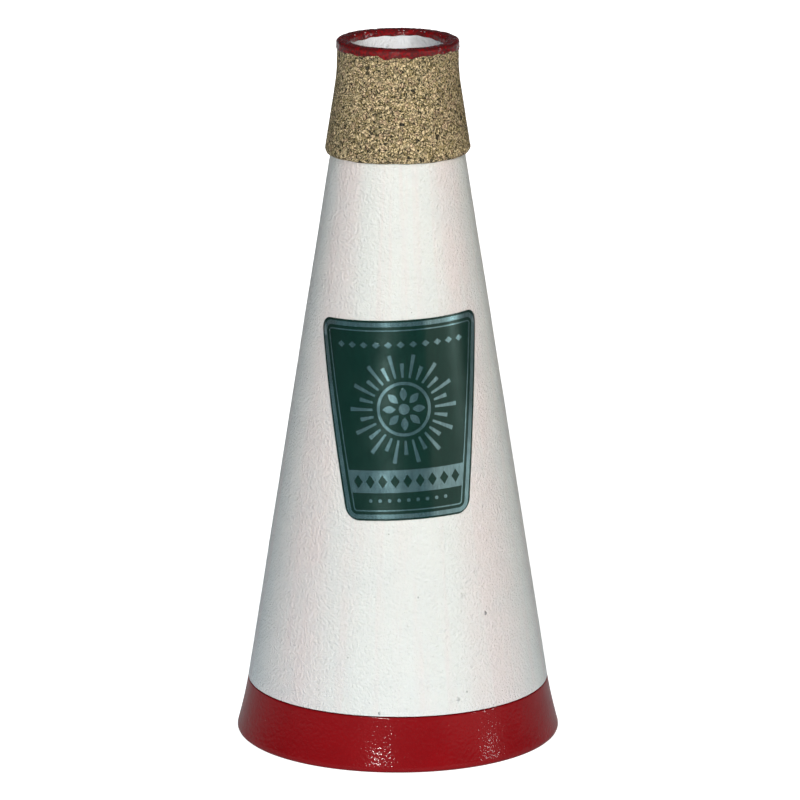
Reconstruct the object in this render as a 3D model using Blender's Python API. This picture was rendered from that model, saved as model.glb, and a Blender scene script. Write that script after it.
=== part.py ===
"""Trumpet wah-wah mute: a rolled fibreboard cone with a cork collar and an adjustable stem.

Metres, +Z up. The origin is the middle of the wide end's rest plane, and the mute stands on that
end, with its label towards -Y.
"""

import math

import bmesh
import bpy
from mathutils import Matrix, Vector

MM = 0.001

# Clearance between neighbouring pieces that are glued or rest on each other
GAP = 0.3 * MM

# Cone: its outer side is one straight line from the end ring up to the nozzle
OVERALL_HEIGHT = 165.0 * MM
CONE_FOOT_RADIUS = 35.28 * MM
NOZZLE_RADIUS = 12.6 * MM
NOZZLE_LENGTH = 7.5 * MM
NOZZLE_BLEND = 45.0 * MM
FIBRE_WALL = 1.25 * MM
RIM_EDGE = 0.35 * MM

# Lap of the rolled board, which stands proud inside along one generator
LAP_AZIMUTH = math.radians(22.0)
LAP_ANGLE = math.radians(17.0)
LAP_STEP_ANGLE = math.radians(0.7)
LAP_RISE = 0.45 * MM

# Hard lining inside the cone
LINING_WALL = 0.8 * MM
LINING_BELOW_RIM = 8.0 * MM

# Cork collar, a sheet wrapped round the narrow end and butted at the back
CORK_THICKNESS = 1.15 * MM
CORK_HEIGHT = 26.1 * MM
CORK_FOOT_EDGE = 0.8 * MM
CORK_TOP_EDGE = 0.45 * MM
CORK_SEAM_AZIMUTH = math.radians(97.0)
CORK_SEAM_GAP = 0.3 * MM

# End ring: flared skirt, butt shoulder and a spigot glued inside the cone
RING_HEIGHT = 12.6 * MM
RING_FLARE = 0.229
RING_FOOT_WALL = 3.0 * MM
RING_FOOT_EDGE = 1.0 * MM
RING_BORE_EDGE = 0.7 * MM
SPIGOT_HEIGHT = 8.0 * MM
SPIGOT_WALL = 1.1 * MM

# Dished board that closes the wide end: a flange in the ring, a shallow cone and a flat boss
DISH_BOARD = 1.3 * MM
DISH_FLANGE_DEPTH = 5.7 * MM
DISH_RISE = 3.4 * MM
DISH_KNEE_FILLET = 2.6 * MM
DISH_BOSS_MARGIN = 2.0 * MM
DISH_BOSS_FILLET = 4.0 * MM

# Stem tube, and the cork bush that grips it
STEM_RADIUS = 5.5 * MM
STEM_WALL = 0.55 * MM
STEM_LENGTH = 68.0 * MM
STEM_END_EDGE = 0.25 * MM
BUSH_WALL = 1.3 * MM
BUSH_CLEARANCE = 0.1 * MM
BUSH_EDGE = 0.3 * MM

# Flanged sleeve round the bush, swaged over a backing washer
SLEEVE_WALL = 0.6 * MM
SLEEVE_LENGTH = 22.0 * MM
SLEEVE_FLANGE_WIDTH = 4.7 * MM
SLEEVE_LIP = 0.9 * MM
SLEEVE_FILLET = 0.7 * MM
SWAGE_RISE = 0.9 * MM
SWAGE_HALF_HEIGHT = 0.8 * MM
WASHER_WALL = 1.0 * MM
WASHER_WIDTH = 4.4 * MM

# Spun cup on the stem's outer end, a little above the table that the mute stands on
CUP_TABLE_CLEARANCE = 2.0 * MM
CUP_WALL = 0.7 * MM
CUP_COLLAR_LENGTH = 3.4 * MM
CUP_COLLAR_FILLET = 1.4 * MM
CUP_SHOULDER_RADIUS = 17.2 * MM
CUP_SHOULDER_DROP = 2.9 * MM
CUP_SHOULDER_FILLET = 7.0 * MM
CUP_MOUTH_RADIUS = 20.4 * MM
CUP_MOUTH_DROP = 9.4 * MM
CUP_CURL = 0.95 * MM
CUP_CURL_ANGLE = math.radians(235.0)
CUP_CURL_STEPS = 5

# Label, a thin foil on the front of the cone
LABEL_MIDDLE_HEIGHT = 80.8 * MM
LABEL_AZIMUTH = math.radians(3.6)
LABEL_TILT = math.radians(2.4)
LABEL_HEIGHT = 46.0 * MM
LABEL_TOP_WIDTH = 41.5 * MM
LABEL_FOOT_WIDTH = 29.5 * MM
LABEL_CORNER = 3.0 * MM
LABEL_THICKNESS = 0.25 * MM

BODY_FACETS = 64
FITTING_FACETS = 32
CUP_FACETS = 40
DISH_FACETS = 48


def nozzle_knee():
    """Height at which the cone's straight side meets the nozzle's cylinder."""
    return OVERALL_HEIGHT - NOZZLE_LENGTH


def cone_taper():
    """Loss of radius for each metre of height."""
    return (CONE_FOOT_RADIUS - NOZZLE_RADIUS) / (nozzle_knee() - RING_HEIGHT)


def cone_radius(height):
    """Outer radius of the cone's straight side at a height."""
    return CONE_FOOT_RADIUS - cone_taper() * (height - RING_HEIGHT)


def ring_bore(height):
    """Radius of the end ring's bore, which narrows from the foot to the top of the spigot."""
    foot = RING_HEIGHT * RING_FLARE + CONE_FOOT_RADIUS - RING_FOOT_WALL
    top_height = RING_HEIGHT + SPIGOT_HEIGHT
    top = cone_radius(top_height) - FIBRE_WALL - GAP - SPIGOT_WALL
    return foot + (top - foot) * height / top_height


def even_angles(count):
    """Angles of a full turn in equal steps."""
    return [2 * math.pi * step / count for step in range(count)]


def lap_angles():
    """Even angles, and one more on each side of the lap's step."""
    edge = LAP_AZIMUTH + LAP_ANGLE / 2
    angles = even_angles(BODY_FACETS) + [edge - LAP_STEP_ANGLE, edge]
    return sorted(angles)


def lap_rise(angle):
    """How far the lap stands in from the cone's inner side: it fades in, then ends in a step."""
    start = LAP_AZIMUTH - LAP_ANGLE / 2
    share = (angle - start) / (LAP_ANGLE - LAP_STEP_ANGLE)
    if share <= 0 or angle >= LAP_AZIMUTH + LAP_ANGLE / 2 - LAP_STEP_ANGLE / 2:
        return 0.0
    return LAP_RISE * min(1.0, share * 2)


def rounded(corners, closed=True):
    """Turn (radius, height, fillet, steps) corners into points, with an arc at each fillet."""
    points = []
    last = len(corners) - 1
    for index, (radius, height, fillet, steps) in enumerate(corners):
        here = Vector((radius, height))
        is_end = not closed and index in (0, last)
        if fillet == 0 or is_end:
            points.append(here)
            continue
        before = (Vector(corners[index - 1][:2]) - here).normalized()
        after = (Vector(corners[(index + 1) % len(corners)][:2]) - here).normalized()
        half = before.angle(after) / 2
        centre = here + (before + after).normalized() * fillet / math.sin(half)
        spoke = here + before * fillet / math.tan(half) - centre
        side = 1 if before.cross(after) < 0 else -1
        sweep = side * (math.pi - 2 * half)
        for step in range(steps + 1):
            points.append(centre + Matrix.Rotation(sweep * step / steps, 2) @ spoke)
    return points


def walled(middle, thickness):
    """Give an open line of points a thickness: the closed outline of a pressed or spun wall."""
    left, right = [], []
    for index, point in enumerate(middle):
        before = middle[max(index - 1, 0)]
        after = middle[min(index + 1, len(middle) - 1)]
        into = (point - before).normalized() if index else (after - point).normalized()
        out = (after - point).normalized() if index < len(middle) - 1 else into
        along = (into + out).normalized()
        across = Vector((-along.y, along.x)) * thickness / 2 / max(along.dot(into), 0.5)
        left.append(point + across)
        right.append(point - across)
    return left + right[::-1]


def make_material(name, colour, roughness, metallic=0.0):
    material = bpy.data.materials.new(name)
    material.use_nodes = True
    shader = material.node_tree.nodes["Principled BSDF"]
    shader.inputs["Base Color"].default_value = (*colour, 1.0)
    shader.inputs["Roughness"].default_value = roughness
    shader.inputs["Metallic"].default_value = metallic
    material.diffuse_color = (*colour, 1.0)
    return material


def make_piece(name, mesh_builder, material, parent, height=0.0):
    """Make one object from a bmesh, smooth on its round sides, at a height on its parent."""
    bmesh.ops.recalc_face_normals(mesh_builder, faces=mesh_builder.faces)
    mesh = bpy.data.meshes.new(name)
    mesh_builder.to_mesh(mesh)
    mesh_builder.free()
    mesh.shade_smooth()
    mesh.set_sharp_from_angle(angle=math.radians(35.0))
    mesh.materials.append(material)
    piece = bpy.data.objects.new(name, mesh)
    bpy.context.scene.collection.objects.link(piece)
    piece.parent = parent
    piece.location = (0.0, 0.0, height)
    return piece


def turn_outline(outline_at, angles, closed=True):
    """Carry an outline round the Z axis; it may change with the angle, or stop at two cut ends."""
    builder = bmesh.new()
    columns = []
    for angle in angles:
        columns.append([
            builder.verts.new((radius * math.cos(angle), radius * math.sin(angle), height))
            for radius, height in outline_at(angle)
        ])
    turns = len(columns) if closed else len(columns) - 1
    for index in range(turns):
        here = columns[index]
        there = columns[(index + 1) % len(columns)]
        for low in range(len(here)):
            high = (low + 1) % len(here)
            builder.faces.new((here[low], there[low], there[high], here[high]))
    if not closed:
        builder.faces.new(columns[0])
        builder.faces.new(columns[-1][::-1])
    return builder


def fibre_cone(parent):
    """Rolled fibreboard cone with a short straight nozzle and its lap inside."""
    foot = RING_HEIGHT + GAP
    knee = nozzle_knee()
    inner_foot = cone_radius(foot) - FIBRE_WALL
    inner_nozzle = NOZZLE_RADIUS - FIBRE_WALL

    def outline(angle):
        lap = lap_rise(angle)
        return rounded([
            (NOZZLE_RADIUS, OVERALL_HEIGHT, 0, 0),
            (NOZZLE_RADIUS, knee, NOZZLE_BLEND, 3),
            (cone_radius(foot), foot, 0, 0),
            (inner_foot - lap, foot, 0, 0),
            (inner_nozzle - lap, knee, NOZZLE_BLEND, 3),
            (inner_nozzle - lap, OVERALL_HEIGHT, RIM_EDGE, 2),
        ])

    material = make_material("white_fibreboard", (0.86, 0.86, 0.84), 0.45)
    return make_piece("fibre_cone", turn_outline(outline, lap_angles()), material, parent)


def inner_lining(parent):
    """Hard lining bonded inside the cone, between the ring's spigot and the nozzle."""
    foot = RING_HEIGHT + SPIGOT_HEIGHT + GAP
    blend_half = NOZZLE_BLEND * cone_taper() / 2
    top = min(OVERALL_HEIGHT - LINING_BELOW_RIM, nozzle_knee() - blend_half)
    inset = FIBRE_WALL + GAP

    def outline(angle):
        lap = lap_rise(angle)
        outer = inset + lap
        inner = outer + LINING_WALL
        return rounded([
            (cone_radius(top) - outer, top, 0, 0),
            (cone_radius(foot) - outer, foot, 0, 0),
            (cone_radius(foot) - inner, foot, 0, 0),
            (cone_radius(top) - inner, top, 0, 0),
        ])

    material = make_material("stone_grey_lining", (0.62, 0.63, 0.62), 0.8)
    return make_piece("inner_lining", turn_outline(outline, lap_angles()), material, parent)


def cork_collar(parent):
    """Cork sheet round the nozzle and the top of the cone, flush with the rim."""
    foot = OVERALL_HEIGHT - CORK_HEIGHT
    knee = nozzle_knee()
    inner = GAP
    outer = GAP + CORK_THICKNESS
    outline = rounded([
        (NOZZLE_RADIUS + outer, OVERALL_HEIGHT, CORK_TOP_EDGE, 2),
        (NOZZLE_RADIUS + outer, knee, NOZZLE_BLEND, 3),
        (cone_radius(foot) + outer, foot, CORK_FOOT_EDGE, 2),
        (cone_radius(foot) + inner, foot, 0, 0),
        (NOZZLE_RADIUS + inner, knee, NOZZLE_BLEND, 3),
        (NOZZLE_RADIUS + inner, OVERALL_HEIGHT, 0, 0),
    ])
    half_gap = CORK_SEAM_GAP / NOZZLE_RADIUS / 2
    first = CORK_SEAM_AZIMUTH + half_gap
    last = CORK_SEAM_AZIMUTH + 2 * math.pi - half_gap
    between = [angle for turn in (0, 2 * math.pi)
               for angle in (even + turn for even in even_angles(BODY_FACETS))
               if first + half_gap < angle < last - half_gap]
    builder = turn_outline(lambda angle: outline, [first] + between + [last], closed=False)
    material = make_material("granulated_cork", (0.33, 0.25, 0.15), 0.85)
    return make_piece("cork_collar", builder, material, parent)


def end_ring(parent):
    """Red ring that forms the wide end: a flared skirt outside and a glued spigot inside."""
    top = RING_HEIGHT + SPIGOT_HEIGHT
    foot_radius = CONE_FOOT_RADIUS + RING_FLARE * RING_HEIGHT

    def outline(angle):
        inset = FIBRE_WALL + GAP + lap_rise(angle)
        return rounded([
            (cone_radius(top) - inset, top, 0, 0),
            (cone_radius(RING_HEIGHT) - inset, RING_HEIGHT, 0, 0),
            (CONE_FOOT_RADIUS, RING_HEIGHT, 0, 0),
            (foot_radius, 0, RING_FOOT_EDGE, 4),
            (ring_bore(0), 0, RING_BORE_EDGE, 2),
            (ring_bore(top), top, 0, 0),
        ])

    material = make_material("red_lacquered_fibre", (0.30, 0.008, 0.012), 0.25)
    return make_piece("end_ring", turn_outline(outline, lap_angles()), material, parent)


def cup_line():
    """Middle line of the cup's wall, down from the top of its collar to the end of its curl."""
    knee = -CUP_COLLAR_LENGTH
    collar = STEM_RADIUS + GAP + CUP_WALL / 2
    line = rounded([
        (collar, 0, 0, 0),
        (collar, knee, CUP_COLLAR_FILLET, 2),
        (CUP_SHOULDER_RADIUS, knee - CUP_SHOULDER_DROP, CUP_SHOULDER_FILLET, 4),
        (CUP_MOUTH_RADIUS, knee - CUP_MOUTH_DROP, 0, 0),
    ], closed=False)
    along = (line[-1] - line[-2]).normalized()
    centre = line[-1] + Vector((-along.y, along.x)) * CUP_CURL
    spoke = line[-1] - centre
    for step in range(1, CUP_CURL_STEPS + 1):
        turn = CUP_CURL_ANGLE * step / CUP_CURL_STEPS
        line.append(centre + Matrix.Rotation(turn, 2) @ spoke)
    return line


def cup_top():
    """Height of the top of the cup's collar at rest: the cup hangs just clear of the table."""
    lowest = min(point.y for point in cup_line()) - CUP_WALL / 2
    return CUP_TABLE_CLEARANCE - lowest


def flange_height():
    """Middle height of the sleeve's flange, which the cup's collar rests against."""
    return cup_top() + GAP + SLEEVE_WALL / 2


def boss_height():
    """Middle height of the dish's flat boss, which lies on the sleeve's flange."""
    return flange_height() + SLEEVE_WALL / 2 + GAP + DISH_BOARD / 2


def washer_height():
    """Underside of the backing washer, which lies on the dish."""
    return boss_height() + DISH_BOARD / 2 + GAP


def sleeve_bore():
    """Inner radius of the sleeve, which holds the bush round the stem."""
    return STEM_RADIUS + BUSH_CLEARANCE + BUSH_WALL + GAP


def sleeve_hole():
    """Radius of the holes that the sleeve passes through."""
    return sleeve_bore() + SLEEVE_WALL + GAP


def flange_radius():
    """Outer radius of the sleeve's flange."""
    return sleeve_bore() + SLEEVE_WALL + SLEEVE_FLANGE_WIDTH


def end_dish(parent):
    """Dished board pressed into the ring from below, with a hole for the sleeve."""
    inset = GAP + DISH_BOARD / 2
    boss = boss_height()
    knee = boss - DISH_RISE
    foot = knee - DISH_FLANGE_DEPTH
    middle = rounded([
        (ring_bore(foot) - inset, foot, 0, 0),
        (ring_bore(knee) - inset, knee, DISH_KNEE_FILLET, 3),
        (flange_radius() + DISH_BOSS_MARGIN, boss, DISH_BOSS_FILLET, 2),
        (sleeve_hole(), boss, 0, 0),
    ], closed=False)
    outline = walled(middle, DISH_BOARD)
    builder = turn_outline(lambda angle: outline, even_angles(DISH_FACETS))
    material = make_material("red_lacquered_board", (0.26, 0.010, 0.012), 0.35)
    return make_piece("end_dish", builder, material, parent)


def sleeve(parent):
    """Flanged metal sleeve, swaged out above the washer and turned in over the bush."""
    radius = sleeve_bore() + SLEEVE_WALL / 2
    washer_top = washer_height() - flange_height() + WASHER_WALL
    swage = washer_top + GAP + SLEEVE_WALL / 2 + SWAGE_HALF_HEIGHT
    middle = rounded([
        (flange_radius(), 0, 0, 0),
        (radius, 0, SLEEVE_FILLET, 2),
        (radius, swage - SWAGE_HALF_HEIGHT, 0, 0),
        (radius + SWAGE_RISE, swage, SLEEVE_WALL / 2, 1),
        (radius, swage + SWAGE_HALF_HEIGHT, 0, 0),
        (radius, SLEEVE_LENGTH, SLEEVE_FILLET, 2),
        (radius - SLEEVE_LIP, SLEEVE_LENGTH, 0, 0),
    ], closed=False)
    outline = walled(middle, SLEEVE_WALL)
    builder = turn_outline(lambda angle: outline, even_angles(FITTING_FACETS))
    material = make_material("bright_aluminium", (0.75, 0.76, 0.78), 0.3, 1.0)
    return make_piece("sleeve", builder, material, parent, flange_height())


def sleeve_washer(parent):
    """Backing washer that the swaged sleeve pulls down on the dish."""
    inner = sleeve_hole()
    outline = rounded([
        (inner + WASHER_WIDTH, WASHER_WALL, 0, 0),
        (inner + WASHER_WIDTH, 0, 0, 0),
        (inner, 0, 0, 0),
        (inner, WASHER_WALL, 0, 0),
    ])
    builder = turn_outline(lambda angle: outline, even_angles(FITTING_FACETS))
    material = make_material("grey_fibre_washer", (0.30, 0.29, 0.27), 0.7)
    return make_piece("sleeve_washer", builder, material, parent, washer_height())


def sleeve_cork(parent):
    """Cork bush inside the sleeve, which grips the stem."""
    length = SLEEVE_LENGTH - SLEEVE_WALL - GAP
    inner = STEM_RADIUS + BUSH_CLEARANCE
    outline = rounded([
        (inner + BUSH_WALL, length, 0, 0),
        (inner + BUSH_WALL, 0, 0, 0),
        (inner, 0, BUSH_EDGE, 1),
        (inner, length, BUSH_EDGE, 1),
    ])
    builder = turn_outline(lambda angle: outline, even_angles(FITTING_FACETS))
    material = make_material("bush_cork", (0.36, 0.26, 0.15), 0.85)
    foot = flange_height() + SLEEVE_WALL / 2
    return make_piece("sleeve_cork", builder, material, parent, foot)


def stem_tube(parent):
    """Plain tube that slides in the bush, open at both ends."""
    inner = STEM_RADIUS - STEM_WALL
    outline = rounded([
        (STEM_RADIUS, STEM_LENGTH, STEM_END_EDGE, 2),
        (STEM_RADIUS, 0, 0, 0),
        (inner, 0, 0, 0),
        (inner, STEM_LENGTH, 0, 0),
    ])
    builder = turn_outline(lambda angle: outline, even_angles(FITTING_FACETS))
    material = make_material("stem_aluminium", (0.77, 0.78, 0.80), 0.28, 1.0)
    return make_piece("stem_tube", builder, material, parent, -CUP_COLLAR_LENGTH)


def stem_cup(parent):
    """Spun cup with a collar round the stem and a rolled rim."""
    outline = walled(cup_line(), CUP_WALL)
    builder = turn_outline(lambda angle: outline, even_angles(CUP_FACETS))
    material = make_material("cup_aluminium", (0.77, 0.78, 0.80), 0.25, 1.0)
    return make_piece("stem_cup", builder, material, parent)


def label_half_width(share):
    """Half-width of the label at a share of its height, with its corners rounded."""
    half = (LABEL_FOOT_WIDTH + (LABEL_TOP_WIDTH - LABEL_FOOT_WIDTH) * share) / 2
    from_end = min(share, 1 - share) * LABEL_HEIGHT
    if from_end < LABEL_CORNER:
        half -= LABEL_CORNER - math.sqrt(LABEL_CORNER ** 2 - (LABEL_CORNER - from_end) ** 2)
    return half


def on_cone(across, height, proud):
    """Place a point of the flat label on the cone's side, a little outside it."""
    turned = Matrix.Rotation(LABEL_TILT, 2) @ Vector((across, height))
    level = LABEL_MIDDLE_HEIGHT + turned.y * math.cos(math.atan(cone_taper()))
    radius = cone_radius(level) + proud
    angle = LABEL_AZIMUTH - math.pi / 2 + turned.x / radius
    return radius * math.cos(angle), radius * math.sin(angle), level


def label_plate(parent):
    """Tapered foil label with round corners, bent round the front of the cone."""
    corner = LABEL_CORNER / LABEL_HEIGHT
    shares = [corner * (1 - math.cos(math.radians(step))) for step in (0, 30, 60, 90)]
    middle = [corner + (1 - 2 * corner) * step / 4 for step in (1, 2, 3)]
    shares = shares + middle + [1 - share for share in shares[::-1]]
    columns = 12
    builder = bmesh.new()
    sheets = []
    for proud in (GAP, GAP + LABEL_THICKNESS):
        rows = []
        for share in shares:
            half = label_half_width(share)
            height = (share - 0.5) * LABEL_HEIGHT
            rows.append([
                builder.verts.new(on_cone(half * (2 * step / columns - 1), height, proud))
                for step in range(columns + 1)
            ])
        sheets.append(rows)
    for rows in sheets:
        for low, high in zip(rows, rows[1:]):
            for step in range(columns):
                builder.faces.new((low[step], low[step + 1], high[step + 1], high[step]))
    borders = []
    for rows in sheets:
        side = [row[-1] for row in rows]
        back = [row[0] for row in rows[::-1]]
        borders.append(rows[0][:-1] + side[:-1] + rows[-1][:0:-1] + back[:-1])
    inner, outer = borders
    for step in range(len(inner)):
        after = (step + 1) % len(inner)
        builder.faces.new((inner[step], inner[after], outer[after], outer[step]))
    material = make_material("dark_green_foil", (0.01, 0.05, 0.035), 0.35, 0.5)
    return make_piece("label_plate", builder, material, parent)


def make_empty(name, height):
    empty = bpy.data.objects.new(name, None)
    empty.location = (0.0, 0.0, height)
    bpy.context.scene.collection.objects.link(empty)
    return empty


def clear_scene():
    for old in list(bpy.data.objects):
        bpy.data.objects.remove(old, do_unlink=True)


def main():
    clear_scene()
    body = make_empty("mute_body", 0.0)
    for build in (fibre_cone, inner_lining, cork_collar, label_plate, end_ring, end_dish,
                  sleeve, sleeve_washer, sleeve_cork):
        build(body)
    stem = make_empty("stem_axis", cup_top())
    for build in (stem_tube, stem_cup):
        build(stem)


main()
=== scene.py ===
"""Looks of a trumpet wah-wah mute: a painted fibreboard cone with a cork collar, red lacquer at
both ends, a foil label on the front, and a metal stem and cup in the wide end.

Metres, +Z up. The mute stands on its wide end, with the label towards -Y.
"""

import math

import bmesh
import bpy
import numpy as np
from bpy.props import FloatProperty, FloatVectorProperty, IntProperty, PointerProperty
from mathutils import Matrix, Vector
from mathutils import noise as mathutils_noise


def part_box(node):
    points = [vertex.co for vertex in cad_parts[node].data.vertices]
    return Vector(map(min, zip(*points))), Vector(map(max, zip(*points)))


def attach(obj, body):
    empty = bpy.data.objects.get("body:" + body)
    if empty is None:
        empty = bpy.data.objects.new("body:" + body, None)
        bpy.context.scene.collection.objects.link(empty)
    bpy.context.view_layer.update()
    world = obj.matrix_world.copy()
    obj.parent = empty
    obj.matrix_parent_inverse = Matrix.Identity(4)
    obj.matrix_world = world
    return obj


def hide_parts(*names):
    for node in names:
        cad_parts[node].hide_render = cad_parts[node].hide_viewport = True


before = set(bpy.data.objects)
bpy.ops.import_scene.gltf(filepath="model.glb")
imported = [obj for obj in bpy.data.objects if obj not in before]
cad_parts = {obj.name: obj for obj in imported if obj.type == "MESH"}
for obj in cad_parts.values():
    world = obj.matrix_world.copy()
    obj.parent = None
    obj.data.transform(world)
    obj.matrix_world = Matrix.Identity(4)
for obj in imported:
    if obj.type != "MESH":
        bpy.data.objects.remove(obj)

bl_info = {
    "name": "Wah-wah mute",
    "version": (1, 0, 0),
    "blender": (4, 5, 0),
    "location": "3D View > Sidebar > Mute",
    "description": "Paints and finishes a trumpet wah-wah mute round its frame",
    "category": "Object",
}

MM = 0.001
TURN = 2 * math.pi
FRONT = math.radians(270.0)
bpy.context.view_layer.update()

# How closely a frame node is read and refined: how near points and columns are one, where a
# corner counts as sharp and how much of a step its round takes, how many times longer than its
# neighbour a straight step is, how much of a step rises where an outline faces out, and how
# sharp an edge stays sharp
WELD = 0.02 * MM
COLUMN_GAP = math.radians(0.1)
SHARP_TURN = math.radians(40.0)
CORNER_SHARE = 0.3
STRAIGHT_TIMES = 2.5
RISE_SHARE = 0.3
SMOOTH_ANGLE = math.radians(50.0)

# How finely each turned node is drawn: columns round it, how round its sharp corners are, and
# the steps along its outline where that faces out and elsewhere
FINENESS = {
    "fibre_cone": (320, 0.12 * MM, 0.72 * MM, 3.0 * MM),
    "inner_lining": (160, 0.10 * MM, 2.5 * MM, 2.5 * MM),
    "cork_collar": (400, 0.25 * MM, 0.26 * MM, 1.6 * MM),
    "end_ring": (420, 0.03 * MM, 0.42 * MM, 1.6 * MM),
    "end_dish": (240, 0.20 * MM, 0.60 * MM, 0.60 * MM),
    "sleeve": (144, 0.10 * MM, 0.50 * MM, 0.50 * MM),
    "sleeve_washer": (144, 0.15 * MM, 0.40 * MM, 0.80 * MM),
    "sleeve_cork": (144, 0.10 * MM, 0.80 * MM, 0.80 * MM),
    "stem_tube": (144, 0.08 * MM, 0.90 * MM, 0.90 * MM),
    "stem_cup": (200, 0.12 * MM, 0.45 * MM, 0.45 * MM),
}
RIM_COLUMNS = 480

# Cork: how far and over what distance its granules are pushed out of even cells, how far up its
# wavy foot reaches, how much finer the bush is, and its rarer colours
CORK_WARP = 1.3 * MM
CORK_WARP_SIZE = 2.2 * MM
CORK_FOOT_REACH = 6.0 * MM
BUSH_GRANULE_SHARE = 0.6
PINK_GRANULE = (0.46, 0.29, 0.19)
OLIVE_GRANULE = (0.24, 0.21, 0.11)
PALE_CHIP = (0.88, 0.68, 0.41)

# Rim lacquer: the part of the nozzle that it is fitted to, its rounded corners, how deep it is
# rooted, the bead along its edges, and its ripple
RIM_BAND = 3.0 * MM
OUTER_ROUND = 0.5 * MM
INNER_ROUND = 0.65 * MM
FILM_ROOT = 0.12 * MM
FILM_EDGE = 0.28 * MM
BEAD_PLACE = 0.35 * MM
BEAD_WIDTH = 0.25 * MM
BEAD_SWELL = 0.35
RIPPLE_SIZE = 1.7 * MM

# Uneven edges, as waves round the axis: (count, height, phase)
CORK_FOOT_WAVES = (
    (1, 0.20 * MM, 1.4), (3, 0.10 * MM, 0.4), (8, 0.05 * MM, 2.0), (17, 0.04 * MM, 4.0),
)
RIM_OUTER_WAVES = (
    (2, 0.12 * MM, 1.0), (5, 0.14 * MM, 2.2), (11, 0.09 * MM, 0.3), (23, 0.07 * MM, 5.0),
    (41, 0.04 * MM, 1.7),
)
RIM_INNER_WAVES = ((3, 0.18 * MM, 0.6), (7, 0.12 * MM, 3.1), (19, 0.08 * MM, 1.2))

# Drips of the rim's lacquer: (azimuth in degrees, extra reach, width in degrees)
RIM_DRIPS = (
    (259.0, 0.75 * MM, 5.5), (283.0, 0.50 * MM, 3.5), (232.0, 0.25 * MM, 7.0),
    (318.0, 0.35 * MM, 5.0), (352.0, 0.30 * MM, 8.0), (46.0, 0.45 * MM, 6.0),
    (101.0, 0.60 * MM, 5.0), (137.0, 0.30 * MM, 9.0), (188.0, 0.40 * MM, 6.0),
)

# Small tints inside the paint, the lacquer and the washer's fibre
PAINT_CLOUD = (0.76, 0.77, 0.765)
PAINT_GRAIN = (0.60, 0.60, 0.60)
PAINT_SPECK = (0.30, 0.29, 0.27)
LACQUER_PIT = (0.035, 0.012, 0.012)
LACQUER_SPECK = (0.42, 0.12, 0.10)
FIBRE_DARK = (0.17, 0.16, 0.145)
FIBRE_LIGHT = (0.34, 0.33, 0.30)

# Label: its smallest corner, the fineness of its shapes, how far its border and its line stand
# in from the edge, and the places and sizes of its ornament
LEAST_CORNER = 0.4 * MM
LABEL_COLUMNS = 44
LABEL_ROW_STEP = 0.9 * MM
SIDE_STEPS = 40
CORNER_STEPS = 8
CORNER_ROWS = [math.radians(turn) for turn in range(0, 91, 10)]
CIRCLE_STEPS = 72
BORDER_INSETS = (0.45 * MM, 1.45 * MM)
LINE_INSETS = (2.15 * MM, 2.45 * MM)
TRIM_SINK = 0.02 * MM
TRIM_RISE = 0.07 * MM
MARK_RISE = 0.1 * MM
FOIL_RIPPLE = 0.03 * MM
ROSETTE_UP = 2.6 * MM
ROSETTE_RADII = (6.3 * MM, 5.6 * MM)
BAND_UP = -14.0 * MM
BAND_HEIGHT = 5.2 * MM
BAND_ROWS = 6

# Stage: the floor as the camera and reflections see it, and a painted bounce light, a bluish glow
# of the floor round the mute that only matt surfaces see
FLOOR_REACH = 4.0
FLOOR_GLOW = 0.97
FLOOR_SHEEN = 0.15
PAINTED_BOUNCE = 0.52
PAINTED_BOUNCE_TINT = (0.50, 0.74, 1.0)
PAINTED_BOUNCE_REACH = 0.24

# Light from all round for matt surfaces, in front and behind
FILL_FRONT = (0.01, 0.01, 0.01)
FILL_BACK = (0.015, 0.025, 0.03)
FILL_EDGE = (-0.2, 0.8)

# What shiny surfaces mirror: a dark room, a low glow in front, a card on its right, and a low
# light behind. Each edge says where the change starts and ends, an angle from the front or a
# share of the way back or up
SHEEN = (0.025, 0.032, 0.035)
LOW_GLOW = (0.09, 0.17, 0.19)
LOW_BACK = (0.42, 0.58, 0.64)
CARD = (0.70, 0.72, 0.69)
CARD_EDGE = (math.radians(32.0), math.radians(35.0))
GLOW_EDGE = (math.radians(76.0), math.radians(86.0))
GLOW_TOP = (0.15, 0.10)
BACK_EDGE = (0.35, 0.85)
BACK_TOP = (0.07, 0.02)

# Lamps: name, azimuth and elevation in degrees, distance, width and height in metres, watts,
# colour, and whether shiny surfaces mirror it
LAMP_AIM = Vector((0.0, 0.0, 80.0 * MM))
LAMPS = (
    ("key_light", -13.0, 17.5, 1.5, 0.16, 0.18, 12.8, (0.94, 1.0, 0.99), True),
    ("side_light", 70.0, 9.5, 1.5, 0.13, 0.16, 2.4, (0.88, 1.0, 1.0), True),
    ("soft_light", 20.0, 25.0, 1.5, 0.50, 0.50, 10.2, (1.0, 0.90, 0.75), False),
    ("high_light", 3.0, 45.0, 1.5, 0.50, 0.50, 2.5, (0.45, 0.65, 1.0), False),
    ("back_light", 180.0, 22.0, 1.5, 0.60, 0.60, 13.0, (1.0, 0.97, 0.93), False),
)


# Values that a user can change: lengths in millimetres and angles in degrees here

def a_colour(name, description, default):
    """A colour with three channels."""
    return FloatVectorProperty(name=name, description=description, subtype="COLOR", size=3,
                               default=default, min=0, max=1)


def a_length(name, description, millimetres):
    """A length, which the property holds in metres."""
    return FloatProperty(name=name, description=description, unit="LENGTH",
                         default=millimetres * MM)


def an_angle(name, description, degrees):
    """An angle, which the property holds in radians."""
    return FloatProperty(name=name, description=description, subtype="ANGLE",
                         default=math.radians(degrees))


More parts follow.
